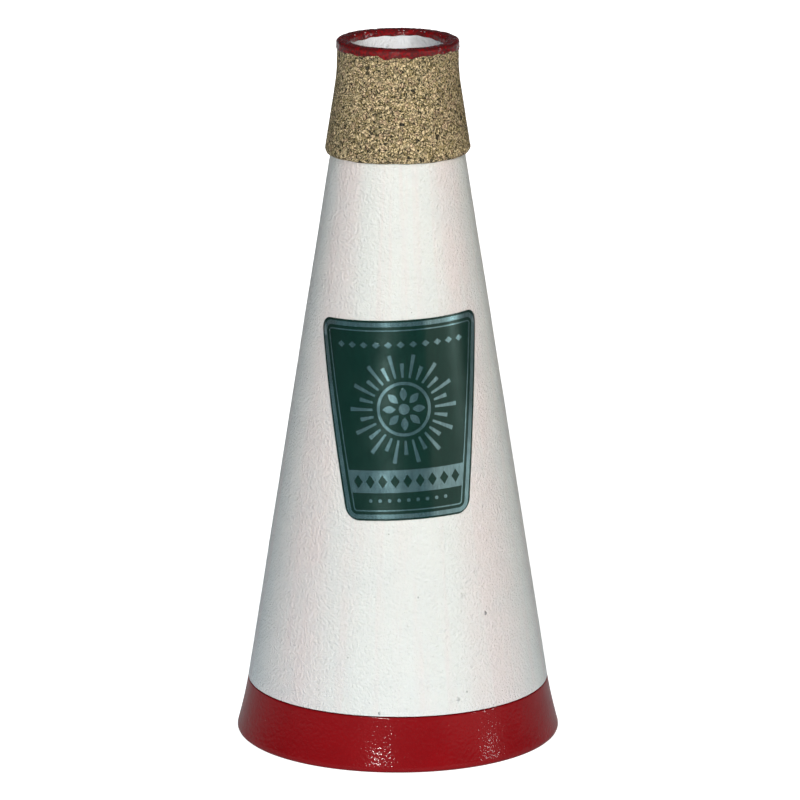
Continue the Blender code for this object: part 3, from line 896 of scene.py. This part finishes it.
def lacquer_material(name, settings, coat=0.5, relief=0.10 * MM, size=0.75 * MM, hollow_darkening=0.0,
                     gloss=0.10):
    """Brushed red lacquer: a rippled clear coat over a cloudy colour, darker in the low places of
    its grain.
    """
    material, tree, shader, position = new_material(
        name, Coat_Weight=coat, Coat_Roughness=gloss, Coat_IOR=1.45, Specular_IOR_Level=0.02)
    film = film_grain(tree, position, size=0.7 * MM)
    dust = specks(tree, position, spacing=3.0 * MM, size=0.06)
    dark = tuple(channel * 0.92 for channel in settings.colour)
    base = blend(tree, ramp(tree, film["Cloud"], 0.38, 0.66), settings.colour, dark)
    # The lacquer turns darker where its grain is lowest, by the share that the caller gives
    darkened_hollows = blend(tree, ramp(tree, film["Height"], 0.60, 0.44, 0.0, hollow_darkening), base, LACQUER_PIT)
    speckled = blend(tree, maths(tree, "MULTIPLY", dust["Mask"], 0.6), darkened_hollows, LACQUER_SPECK)
    ripple = noise(tree, position, size)
    height = maths(tree, "ADD", ripple, maths(tree, "MULTIPLY", dust["Height"], 0.5))
    normal = set_surface(tree, shader, speckled, ramp(tree, film["Cloud"], 0.3, 0.7, 0.35, 0.5),
                         height, relief)
    tree.links.new(normal, shader.inputs["Coat Normal"])
    return material


def cork_material(name, settings, granule):
    """Filed granulated cork, rougher in its seams."""
    material, tree, shader, position = new_material(name)
    cork = place_group(tree, shared_group("Granulated cork", cork_group), Vector=position,
                       Granule=granule, Light=settings.light, Middle=settings.middle,
                       Dark=settings.dark)
    set_surface(tree, shader, cork["Color"], ramp(tree, cork["Height"], 0.4, 1.6, 0.92, 0.74),
                cork["Height"], relief=0.22 * MM)
    return material


def lining_material(settings):
    """Hard mineral lining: matt, granular and slightly mottled."""
    material, tree, shader, position = new_material("stone_lining")
    film = film_grain(tree, position, size=0.8 * MM)
    dark = tuple(channel * 0.7 for channel in settings.lining)
    mottled = blend(tree, ramp(tree, film["Height"], 0.35, 0.65), dark, settings.lining)
    set_surface(tree, shader, mottled, ramp(tree, film["Cloud"], 0.3, 0.7, 0.78, 0.92),
                film["Height"], relief=0.25 * MM)
    return material


def metal_material(name, settings):
    """Spun aluminium: fine turning lines round the axis, and a roughness that wanders a little."""
    material, tree, shader, position = new_material(name, Metallic=1.0)
    lines = place_group(tree, shared_group("Turning lines", turning_group), Vector=position,
                        Spacing=settings.turning)
    dull = tuple(channel * 0.82 for channel in settings.colour)
    lined = blend(tree, ramp(tree, lines["Height"], 0.3, 0.7), dull, settings.colour)
    set_surface(tree, shader, lined, lines["Roughness"], lines["Height"], relief=0.02 * MM)
    return material


def washer_material():
    """Hard pressed fibre: grey-brown, with short fibres in it."""
    material, tree, shader, position = new_material("pressed_fibre")
    stretched = add_node(tree, "ShaderNodeMapping",
                         {"Vector": position, "Scale": (1.0, 4.0, 1.0)}).outputs[0]
    fibres = noise(tree, stretched, 0.9 * MM, detail=4.0)
    set_surface(tree, shader, blend(tree, ramp(tree, fibres, 0.3, 0.7), FIBRE_DARK, FIBRE_LIGHT),
                ramp(tree, fibres, 0.3, 0.7, 0.62, 0.78), fibres, relief=0.04 * MM)
    return material


def foil_material(name, colour, metallic, coat, roughness):
    """Printed foil: fine scuffs and a roughness that wanders, in the label's own flat plane."""
    material, tree, shader = new_material(
        name, Metallic=metallic, Coat_Weight=coat, Coat_Roughness=0.12)[:3]
    flat = add_node(tree, "ShaderNodeAttribute", attribute_name="flat").outputs["Vector"]
    drawn = add_node(tree, "ShaderNodeMapping", {"Vector": flat, "Scale": (1.0, 0.18, 1.0)})
    scuffs = noise(tree, drawn.outputs[0], 0.5 * MM, detail=5.0, roughness=0.7)
    cloud = noise(tree, flat, 6.0 * MM, detail=3.0)
    worn = tuple(channel * 0.74 for channel in colour)
    set_surface(tree, shader, blend(tree, ramp(tree, scuffs, 0.35, 0.65), worn, colour),
                ramp(tree, cloud, 0.3, 0.7, roughness, roughness + 0.07), scuffs,
                relief=0.006 * MM)
    return material


# Label shapes, flat: x across, y up from the label's middle, z proud of the cone

def label_corner(label, inset):
    """Radius of the label's corners, moved in by an inset."""
    return max(label.corner - inset, LEAST_CORNER)


def label_half_width(label, up, inset):
    """Half-width of the label's outline at a height, moved in by an inset, with round corners."""
    share = up / label.height + 0.5
    half = (label.foot_width + (label.top_width - label.foot_width) * share) / 2 - inset
    corner = label_corner(label, inset)
    from_end = label.height / 2 - inset - abs(up)
    if from_end < corner:
        half -= corner - math.sqrt(max(corner ** 2 - (corner - from_end) ** 2, 0.0))
    return half


def add_slab(builder, rows, low, high):
    """Close a grid of flat (across, up) rows into a thin slab from low to high."""
    sheets = [[[builder.verts.new((x, y, proud)) for x, y in row] for row in rows]
              for proud in (low, high)]
    for sheet, flip in zip(sheets, (True, False)):
        for upper, lower in zip(sheet, sheet[1:]):
            for step in range(len(upper) - 1):
                corners = [lower[step], lower[step + 1], upper[step + 1], upper[step]]
                builder.faces.new(corners[::-1] if flip else corners)
    under, over = [sheet[0][::-1] + [row[0] for row in sheet[1:-1]] + sheet[-1]
                   + [row[-1] for row in sheet[-2:0:-1]] for sheet in sheets]
    for index in range(len(under)):
        after = (index + 1) % len(under)
        builder.faces.new((under[index], under[after], over[after], over[index]))


def label_rows(label):
    """A grid of (across, up) points over the whole label, with close rows at its round corners."""
    corner = label_corner(label, 0.0)
    straight = label.height / 2 - corner
    bends = [label.height / 2 - corner * (1 - math.cos(turn)) for turn in CORNER_ROWS]
    count = round(2 * straight / LABEL_ROW_STEP)
    inner = [straight * (1 - 2 * step / count) for step in range(1, count)]
    rows = []
    for level in bends + inner + [-level for level in bends[::-1]]:
        half = label_half_width(label, level, 0.0)
        rows.append([(half * (2 * step / LABEL_COLUMNS - 1), level)
                     for step in range(LABEL_COLUMNS + 1)])
    return rows


def label_loop(label, inset):
    """The label's outline moved in by an inset: as many points for any inset."""
    end = label.height / 2 - inset
    lean = (label.top_width - label.foot_width) / label.height / 2
    middle = (label.top_width + label.foot_width) / 4 - inset
    corner = label_corner(label, inset)
    corners = [Vector((side * (middle + lean * level), level))
               for side, level in ((1, -end), (1, end), (-1, end), (-1, -end))]
    loop = []
    for index, here in enumerate(corners):
        back = (corners[index - 1] - here).normalized()
        ahead = (corners[(index + 1) % 4] - here).normalized()
        half = back.angle(ahead) / 2
        centre = here + (back + ahead).normalized() * corner / math.sin(half)
        spoke = here + back * corner / math.tan(half) - centre
        arc = [centre + Matrix.Rotation((math.pi - 2 * half) * step / CORNER_STEPS, 2) @ spoke
               for step in range(CORNER_STEPS + 1)]
        if loop:
            loop += side_points(loop[-1], arc[0])
        loop += arc
    return loop + side_points(loop[-1], loop[0])


def side_points(start, end):
    """The points between two ends of a straight side."""
    return [start.lerp(end, step / SIDE_STEPS) for step in range(1, SIDE_STEPS)]


def add_band(builder, outer, inner, low, high):
    """A closed strip between two loops of as many points."""
    loops = [[builder.verts.new((x, y, proud)) for x, y in loop]
             for loop, proud in ((outer, low), (outer, high), (inner, high), (inner, low))]
    for index in range(len(outer)):
        after = (index + 1) % len(outer)
        for side in range(4):
            a, b = loops[side], loops[(side + 1) % 4]
            builder.faces.new((a[index], a[after], b[after], b[index]))


def circle(middle, radius):
    """The points of a circle round a point on the label's middle line."""
    turns = [TURN * step / CIRCLE_STEPS for step in range(CIRCLE_STEPS)]
    return [Vector((radius * math.cos(turn), middle + radius * math.sin(turn))) for turn in turns]


def ray_tree():
    """A fan of flat rays round a point; every second one is shorter; they taper or swell."""
    tree, given, out = new_mesh_tree(
        "Ray fan", count=24, middle_up=0.0, inner_radius=0.007, length=0.005, short_share=0.7,
        width=0.0006, tip_share=0.3, swelling=0.0, low=0.0, high=0.0001)
    bar = add_node(tree, "GeometryNodeMeshCube", {
        "Size": (1.0, 1.0, 1.0), "Vertices X": 9, "Vertices Y": 3, "Vertices Z": 2}).outputs[0]
    x, y, z = components(tree, add_node(tree, "GeometryNodeInputPosition").outputs[0])
    share = maths(tree, "ADD", x, 0.5)
    taper = ramp(tree, share, 0.0, 1.0, 1.0, given["Tip Share"], smooth=False)
    arch = maths(tree, "SINE", maths(tree, "MULTIPLY", share, math.pi))
    bulge = add_node(tree, "ShaderNodeMix", {0: given["Swelling"], 2: taper, 3: arch}).outputs[0]
    proud = ramp(tree, z, -0.5, 0.5, given["Low"], given["High"], smooth=False)
    wide = maths(tree, "MULTIPLY", maths(tree, "MULTIPLY", y, given["Width"]), bulge)
    shaped = combine(tree, maths(tree, "MULTIPLY", share, given["Length"]), wide, proud)
    ray = add_node(tree, "GeometryNodeSetPosition", {"Geometry": bar, "Position": shaped})
    ring = add_node(tree, "GeometryNodeMeshCircle",
                    {"Vertices": given["Count"], "Radius": given["Inner Radius"]})
    index = add_node(tree, "GeometryNodeInputIndex").outputs[0]
    turn = maths(tree, "DIVIDE", maths(tree, "MULTIPLY", index, TURN), given["Count"])
    odd = maths(tree, "MODULO", index, 2.0)
    size = ramp(tree, odd, 0.0, 1.0, 1.0, given["Short Share"], smooth=False)
    fan = add_node(tree, "GeometryNodeInstanceOnPoints", {
        "Points": ring.outputs[0],
        "Instance": ray.outputs[0],
        "Rotation": combine(tree, z=turn),
        "Scale": combine(tree, size, 1.0, 1.0)})
    moved = add_node(tree, "GeometryNodeTransform", {
        "Geometry": fan.outputs[0], "Translation": combine(tree, y=given["Middle Up"])})
    close_tree(tree, out, moved.outputs[0], given["Material"])
    return tree


def row_tree():
    """A level row of flat lozenges or dots."""
    tree, given, out = new_mesh_tree(
        "Ornament row", count=9, up=0.0, step=0.003, sides=4, half_width=0.001,
        half_height=0.0006, low=0.0, high=0.0001)
    plate = add_node(tree, "GeometryNodeMeshCylinder", {
        "Vertices": given["Sides"], "Fill Segments": 2, "Radius": 1.0,
        "Depth": maths(tree, "SUBTRACT", given["High"], given["Low"])}).outputs[0]
    gaps = maths(tree, "SUBTRACT", given["Count"], 1.0)
    start = maths(tree, "DIVIDE", maths(tree, "MULTIPLY", given["Step"], gaps), -2.0)
    centre = maths(tree, "DIVIDE", maths(tree, "ADD", given["High"], given["Low"]), 2.0)
    line = add_node(tree, "GeometryNodeMeshLine", {
        "Count": given["Count"], "Start Location": combine(tree, start, given["Up"], centre),
        "Offset": combine(tree, given["Step"])})
    row = add_node(tree, "GeometryNodeInstanceOnPoints", {
        "Points": line.outputs[0], "Instance": plate,
        "Scale": combine(tree, given["Half Width"], given["Half Height"], 1.0)})
    close_tree(tree, out, row.outputs[0], given["Material"])
    return tree


def add_ornament(builder, tree, **values):
    """Run an ornament tree on its own and add what it makes to a piece's mesh."""
    holder = link("ornament", bpy.data.meshes.new("ornament"))
    run_tree(holder, tree, **values)
    builder.from_mesh(holder.data)
    bpy.data.objects.remove(holder, do_unlink=True)


def wrap_label(name, builder, label, material):
    """Make a flat label layer a piece that lies round the cone."""
    bmesh.ops.recalc_face_normals(builder, faces=builder.faces)
    mesh = bpy.data.meshes.new(name)
    builder.to_mesh(mesh)
    builder.free()
    piece = link(name, mesh)
    foot, knee = straight_side()
    taper = (foot.x - knee.x) / (knee.y - foot.y)
    run_tree(piece, shared_group("Wrap on cone", wrap_tree),
             middle_height=label.middle_height,
             middle_radius=foot.x - taper * (label.middle_height - foot.y),
             taper=taper, azimuth=label.azimuth, tilt=label.tilt, ripple=FOIL_RIPPLE,
             material=material)
    return piece


def add_trim(builder, label, silver, low, high):
    """The silver ornament: a border and a line, a rosette with rays, a band and two rows."""
    fan = shared_group("Ray fan", ray_tree)
    row = shared_group("Ornament row", row_tree)
    levels = {"low": low, "high": high, "material": silver}
    for insets in (BORDER_INSETS, LINE_INSETS):
        outer, inner = (label_loop(label, inset) for inset in insets)
        add_band(builder, outer, inner, low, high)
    outer, inner = (circle(ROSETTE_UP, radius) for radius in ROSETTE_RADII)
    add_band(builder, outer, inner, low, high)
    add_ornament(builder, fan, count=8, middle_up=ROSETTE_UP, inner_radius=1.9 * MM,
                 length=3.1 * MM, short_share=1.0, width=1.7 * MM, tip_share=1.0, swelling=1.0,
                 **levels)
    add_ornament(builder, row, count=1, up=ROSETTE_UP, step=MM, sides=32,
                 half_width=1.25 * MM, half_height=1.25 * MM, **levels)
    add_ornament(builder, fan, count=label.rays, middle_up=ROSETTE_UP, inner_radius=7.3 * MM,
                 length=5.4 * MM, short_share=0.6, width=0.5 * MM, tip_share=1.9, swelling=0.0,
                 **levels)
    band = []
    for band_row in range(BAND_ROWS + 1):
        level = BAND_UP + BAND_HEIGHT * (0.5 - band_row / BAND_ROWS)
        half = label_half_width(label, level, LINE_INSETS[1])
        band.append([(half * (2 * step / SIDE_STEPS - 1), level) for step in range(SIDE_STEPS + 1)])
    add_slab(builder, band, low, high)
    add_ornament(builder, row, count=11, up=label.height / 2 - 5.6 * MM, step=2.9 * MM, sides=4,
                 half_width=0.95 * MM, half_height=0.75 * MM, **levels)
    add_ornament(builder, row, count=9, up=4.6 * MM - label.height / 2, step=2.2 * MM, sides=20,
                 half_width=0.42 * MM, half_height=0.42 * MM, **levels)


# Operators, one for each piece or group of like pieces

class MUTE_OT_cone(bpy.types.Operator):
    """Paint the fibreboard cone: a fine shell with brushed white paint"""
    bl_idname = "mute.cone"
    bl_label = "Painted cone"

    def execute(self, context):
        settings = context.scene.mute_paint
        cone = grid_mesh("painted_cone", *turned_surface("fibre_cone"))
        run_tree(cone, shared_group("Brushed film", film_tree),
                 wave_size=settings.swell_size, wave_height=settings.swell,
                 peel_size=settings.peel_size, peel_height=settings.peel, seed=3.0,
                 material=paint_material(settings))
        settle(cone, "white_fibre", "mute", "fibre_cone")
        return {"FINISHED"}


class MUTE_OT_lining(bpy.types.Operator):
    """Make the hard lining inside the cone"""
    bl_idname = "mute.lining"
    bl_label = "Hard lining"

    def execute(self, context):
        turned_piece("stone_lining", "inner_lining", lining_material(context.scene.mute_paint),
                     "lining", "mute")
        return {"FINISHED"}


class MUTE_OT_cork(bpy.types.Operator):
    """Wrap the granulated cork round the narrow end"""
    bl_idname = "mute.cork"
    bl_label = "Cork collar"

    def execute(self, context):
        settings = context.scene.mute_cork
        outline = plain_outline(cad_columns("cork_collar"))
        count, edge, fine, coarse = FINENESS["cork_collar"]
        line = refine(outline, edge, fine, coarse)[0]
        foot = line[:, 1].min()
        half_gap = settings.seam_gap / line[:, 0].min() / 2
        angles = np.linspace(settings.seam_azimuth + half_gap,
                             settings.seam_azimuth + TURN - half_gap, count)
        uneven = wave(angles, CORK_FOOT_WAVES)
        near_foot = np.clip(1 - (line[:, 1] - foot) / CORK_FOOT_REACH, 0, 1) ** 2
        radii = np.tile(line[:, 0], (len(angles), 1))
        heights = line[:, 1] + uneven[:, None] * near_foot
        cork = grid_mesh("cork_wrap", angles, radii, heights, closed=False)
        run_tree(cork, shared_group("Cork granules", cork_tree), granule=settings.granule,
                 relief=settings.relief,
                 material=cork_material("collar_cork", settings, settings.granule))
        settle(cork, "cork", "mute", "cork_collar")
        return {"FINISHED"}


class MUTE_OT_rim(bpy.types.Operator):
    """Brush red lacquer over the narrow rim, with an uneven lower edge and drips"""
    bl_idname = "mute.rim"
    bl_label = "Rim lacquer"

    def execute(self, context):
        settings = context.scene.mute_lacquer
        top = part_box("cork_collar")[1].z
        outer = max(point.x for point in plain_outline(cad_columns("cork_collar"))
                    if point.y > top - RIM_BAND)
        columns = cad_columns("fibre_cone")
        bores = [min(point.x for point in columns[angle] if point.y > top - RIM_BAND)
                 for angle in sorted(columns)]
        angles = np.arange(RIM_COLUMNS) * TURN / RIM_COLUMNS
        inner = np.interp(angles, sorted(columns), bores, period=TURN)
        drips = sum(height * hump(angles, math.radians(azimuth), math.radians(width))
                    for azimuth, height, width in RIM_DRIPS)
        down_out = settings.outer_reach + drips + wave(angles, RIM_OUTER_WAVES)
        down_in = settings.inner_reach + wave(angles, RIM_INNER_WAVES)
        radii, heights = [], []
        for angle, bore, out_reach, in_reach in zip(angles, inner, down_out, down_in):
            path = rim_path(outer, bore, top, out_reach, in_reach)
            column = film_section(path, settings.film, angle)
            radii.append([point.x for point in column])
            heights.append([point.y for point in column])
        rim = grid_mesh("rim_lacquer", angles, np.array(radii), np.array(heights))
        lacquer = lacquer_material("rim_lacquer", settings, coat=0.8, relief=0.11 * MM,
                                   size=0.55 * MM, hollow_darkening=0.75, gloss=0.045)
        finish(rim, lacquer, "red_lacquer", "mute")
        return {"FINISHED"}


class MUTE_OT_ring(bpy.types.Operator):
    """Lacquer the ring at the wide end, whose skirt draws in a little between its edges"""
    bl_idname = "mute.ring"
    bl_label = "Lacquered ring"

    def execute(self, context):
        settings = context.scene.mute_lacquer
        angles, radii, heights = turned_surface("end_ring")
        foot = straight_side()[0]
        skirt = np.clip(heights / foot.y, 0, 1)
        hollow = settings.hollow * np.sin(math.pi * skirt) * (radii > foot.x - WELD)
        ring = grid_mesh("lacquered_ring", angles, radii - hollow, heights)
        run_tree(ring, shared_group("Brushed film", film_tree),
                 wave_size=7.0 * MM, wave_height=settings.crinkle,
                 peel_size=settings.crinkle_size, peel_height=settings.crinkle, seed=8.0,
                 material=lacquer_material("ring_lacquer", settings))
        settle(ring, "red_lacquer", "mute", "end_ring")
        return {"FINISHED"}


class MUTE_OT_wide_end(bpy.types.Operator):
    """Close the wide end: the dish, the sleeve, its washer and its cork bush"""
    bl_idname = "mute.wide_end"
    bl_label = "Dish, sleeve, washer and bush"

    def execute(self, context):
        scene = context.scene
        bush_granule = scene.mute_cork.granule * BUSH_GRANULE_SHARE
        turned_piece("lacquered_dish", "end_dish",
                     lacquer_material("dish_lacquer", scene.mute_lacquer), "red_board", "mute")
        turned_piece("spun_sleeve", "sleeve",
                     metal_material("sleeve_aluminium", scene.mute_metal), "aluminium", "mute")
        turned_piece("fibre_washer", "sleeve_washer", washer_material(), "washer_fibre", "mute")
        turned_piece("cork_bush", "sleeve_cork",
                     cork_material("bush_cork", scene.mute_cork, bush_granule), "cork", "mute")
        return {"FINISHED"}


class MUTE_OT_stem(bpy.types.Operator):
    """Make the drawn stem and the spun cup that slide in the bush"""
    bl_idname = "mute.stem"
    bl_label = "Stem and cup"

    def execute(self, context):
        metal = metal_material("stem_aluminium", context.scene.mute_metal)
        turned_piece("drawn_stem", "stem_tube", metal, "aluminium", "stem")
        turned_piece("spun_cup", "stem_cup", metal, "aluminium", "stem")
        return {"FINISHED"}


class MUTE_OT_label(bpy.types.Operator):
    """Stick the foil label on the front: a silver foil, a green ground and plain ornament"""
    bl_idname = "mute.label"
    bl_label = "Foil label"

    def execute(self, context):
        label = context.scene.mute_label
        silver = foil_material("silver_foil", label.silver, metallic=0.92, coat=0.1, roughness=0.14)
        green = foil_material("green_foil", label.green, metallic=0.35, coat=0.3, roughness=0.18)
        face = label.thickness
        builder = bmesh.new()
        add_slab(builder, label_rows(label), 0.0, face)
        plate = wrap_label("label_foil", builder, label, green)
        settle(plate, "label_foil", "mute", "label_plate")
        builder = bmesh.new()
        add_trim(builder, label, silver, face - TRIM_SINK, face + TRIM_RISE)
        settle(wrap_label("label_silver", builder, label, silver), "label_foil", "mute")
        builder = bmesh.new()
        add_ornament(builder, shared_group("Ornament row", row_tree), count=9, up=BAND_UP,
                     step=2.9 * MM, sides=4, half_width=1.05 * MM, half_height=1.55 * MM, low=face,
                     high=face + MARK_RISE, material=green)
        settle(wrap_label("label_marks", builder, label, green), "label_foil", "mute")
        return {"FINISHED"}


def direction(azimuth, elevation):
    """Unit vector from the mute towards an azimuth, 0 in front and growing to the right."""
    return Vector((math.sin(azimuth) * math.cos(elevation),
                   -math.cos(azimuth) * math.cos(elevation), math.sin(elevation)))


class MUTE_OT_stage(bpy.types.Operator):
    """Set up the pale floor, the soft studio light and the camera"""
    bl_idname = "mute.stage"
    bl_label = "Stage"

    def execute(self, context):
        stage = context.scene.mute_stage
        self.make_floor(stage)
        self.make_world(context.scene)
        for lamp in LAMPS:
            self.make_lamp(*lamp)
        self.make_camera(context.scene, stage)
        context.scene.view_settings.view_transform = "Standard"
        return {"FINISHED"}

    def make_floor(self, stage):
        """A pale floor that shows white to the camera, and nothing when it is seen from below. Near
        the mute it glows for matt surfaces, a painted bounce light.
        """
        mesh = bpy.data.meshes.new("floor")
        corners = [(x * FLOOR_REACH, y * FLOOR_REACH, 0)
                   for x, y in ((-1, -1), (1, -1), (1, 1), (-1, 1))]
        mesh.from_pydata(corners, [], [(0, 1, 2, 3)])
        floor = link("floor", mesh)
        material = bpy.data.materials.new("pale_floor")
        material.use_nodes = True
        tree = material.node_tree
        shader = tree.nodes["Principled BSDF"]
        shader.inputs["Base Color"].default_value = (*stage.floor, 1.0)
        shader.inputs["Roughness"].default_value = 0.9
        path = add_node(tree, "ShaderNodeLightPath").outputs
        position = add_node(tree, "ShaderNodeTexCoord").outputs["Object"]
        # Painted bounce light: the floor glows for diffuse rays, fading out a short way from the
        # mute
        painted_bounce_glow = ramp(tree, vectors(tree, "LENGTH", position), 0.0, PAINTED_BOUNCE_REACH, PAINTED_BOUNCE, 0.0)
        strength = maths(tree, "MULTIPLY", path["Is Diffuse Ray"], painted_bounce_glow)
        tint = blend(tree, path["Is Diffuse Ray"], (1.0, 1.0, 1.0), PAINTED_BOUNCE_TINT)
        for ray, level in (("Is Camera Ray", FLOOR_GLOW), ("Is Glossy Ray", FLOOR_SHEEN)):
            strength = maths(tree, "ADD", strength, maths(tree, "MULTIPLY", path[ray], level))
        glow = add_node(tree, "ShaderNodeEmission", {"Color": tint, "Strength": strength})
        lit = add_node(tree, "ShaderNodeAddShader")
        tree.links.new(shader.outputs[0], lit.inputs[0])
        tree.links.new(glow.outputs[0], lit.inputs[1])
        clear = add_node(tree, "ShaderNodeBsdfTransparent")
        below = add_node(tree, "ShaderNodeNewGeometry").outputs["Backfacing"]
        mixed = add_node(tree, "ShaderNodeMixShader", {0: below})
        tree.links.new(lit.outputs[0], mixed.inputs[1])
        tree.links.new(clear.outputs[0], mixed.inputs[2])
        tree.links.new(mixed.outputs[0], tree.nodes["Material Output"].inputs["Surface"])
        floor.data.materials.append(material)

    def make_world(self, scene):
        """White for the camera, a faint fill for matt surfaces, and a dim room for shiny ones."""
        world = bpy.data.worlds.new("studio")
        world.use_nodes = True
        scene.world = world
        tree = world.node_tree
        way = add_node(tree, "ShaderNodeTexCoord").outputs["Generated"]
        x, y, z = components(tree, way)
        path = add_node(tree, "ShaderNodeLightPath").outputs
        mirrored = maths(tree, "MAXIMUM", path["Is Glossy Ray"], path["Is Transmission Ray"])
        fill = blend(tree, ramp(tree, y, *FILL_EDGE), FILL_FRONT, FILL_BACK)
        azimuth = maths(tree, "ARCTAN2", x, maths(tree, "MULTIPLY", y, -1.0))
        glow = blend(tree, ramp(tree, azimuth, *CARD_EDGE), LOW_GLOW, CARD)
        around = maths(tree, "ABSOLUTE", azimuth)
        front = blend(tree, ramp(tree, around, *GLOW_EDGE), glow, SHEEN)
        behind = maths(tree, "MULTIPLY", ramp(tree, y, *BACK_EDGE), ramp(tree, z, *BACK_TOP))
        horizon = blend(tree, behind, front, LOW_BACK)
        sheen = blend(tree, ramp(tree, z, *GLOW_TOP), SHEEN, horizon)
        seen = blend(tree, mirrored, fill, sheen)
        shown = blend(tree, path["Is Camera Ray"], seen, (1.0, 1.0, 1.0))
        tree.links.new(shown, tree.nodes["Background"].inputs["Color"])

    def make_lamp(self, name, azimuth, elevation, distance, width, tall, power, colour, mirrored):
        """A rectangular lamp that points at the mute."""
        data = bpy.data.lights.new(name, "AREA")
        data.shape = "RECTANGLE"
        data.size = width
        data.size_y = tall
        data.energy = power
        data.color = colour
        lamp = link(name, data)
        lamp.visible_glossy = mirrored
        back = direction(math.radians(azimuth), math.radians(elevation))
        lamp.location = LAMP_AIM + back * distance
        lamp.rotation_euler = back.to_track_quat("Z", "Y").to_euler()

    def make_camera(self, scene, stage):
        """A long lens in front of the mute that looks a little down."""
        data = bpy.data.cameras.new("camera")
        data.lens = stage.lens
        data.sensor_width = 36.0
        data.clip_start = 0.01
        data.clip_end = 50.0
        camera = link("camera", data)
        back = direction(0.0, stage.elevation)
        camera.location = Vector((stage.aim_side, 0.0, stage.aim_height)) + back * stage.distance
        camera.rotation_euler = back.to_track_quat("Z", "Y").to_euler()
        scene.camera = camera


SETTINGS = (
    ("mute_paint", MutePaint), ("mute_cork", MuteCork), ("mute_lacquer", MuteLacquer),
    ("mute_metal", MuteMetal), ("mute_label", MuteLabel), ("mute_stage", MuteStage),
)
OPERATORS = (MUTE_OT_cone, MUTE_OT_lining, MUTE_OT_cork, MUTE_OT_rim, MUTE_OT_ring,
             MUTE_OT_wide_end, MUTE_OT_stem, MUTE_OT_label, MUTE_OT_stage)


class MUTE_PT_panel(bpy.types.Panel):
    """The mute's sizes and colours, and a button for each group of pieces"""
    bl_label = "Wah-wah mute"
    bl_idname = "MUTE_PT_panel"
    bl_space_type = "VIEW_3D"
    bl_region_type = "UI"
    bl_category = "Mute"

    def draw(self, context):
        layout = self.layout
        for name, group in SETTINGS:
            box = layout.box()
            box.label(text=group.__doc__.strip())
            values = getattr(context.scene, name)
            for key in group.__annotations__:
                box.prop(values, key)
        for operator in OPERATORS:
            layout.operator(operator.bl_idname)


def register():
    for name, group in SETTINGS:
        bpy.utils.register_class(group)
        setattr(bpy.types.Scene, name, PointerProperty(type=group))
    for operator in OPERATORS:
        bpy.utils.register_class(operator)
    bpy.utils.register_class(MUTE_PT_panel)


def unregister():
    bpy.utils.unregister_class(MUTE_PT_panel)
    for operator in reversed(OPERATORS):
        bpy.utils.unregister_class(operator)
    for name, group in reversed(SETTINGS):
        delattr(bpy.types.Scene, name)
        bpy.utils.unregister_class(group)


def main():
    register()
    bpy.ops.mute.cone()
    bpy.ops.mute.lining()
    bpy.ops.mute.cork()
    bpy.ops.mute.rim()
    bpy.ops.mute.ring()
    bpy.ops.mute.wide_end()
    bpy.ops.mute.stem()
    bpy.ops.mute.label()
    bpy.ops.mute.stage()


if __name__ == "__main__":
    main()
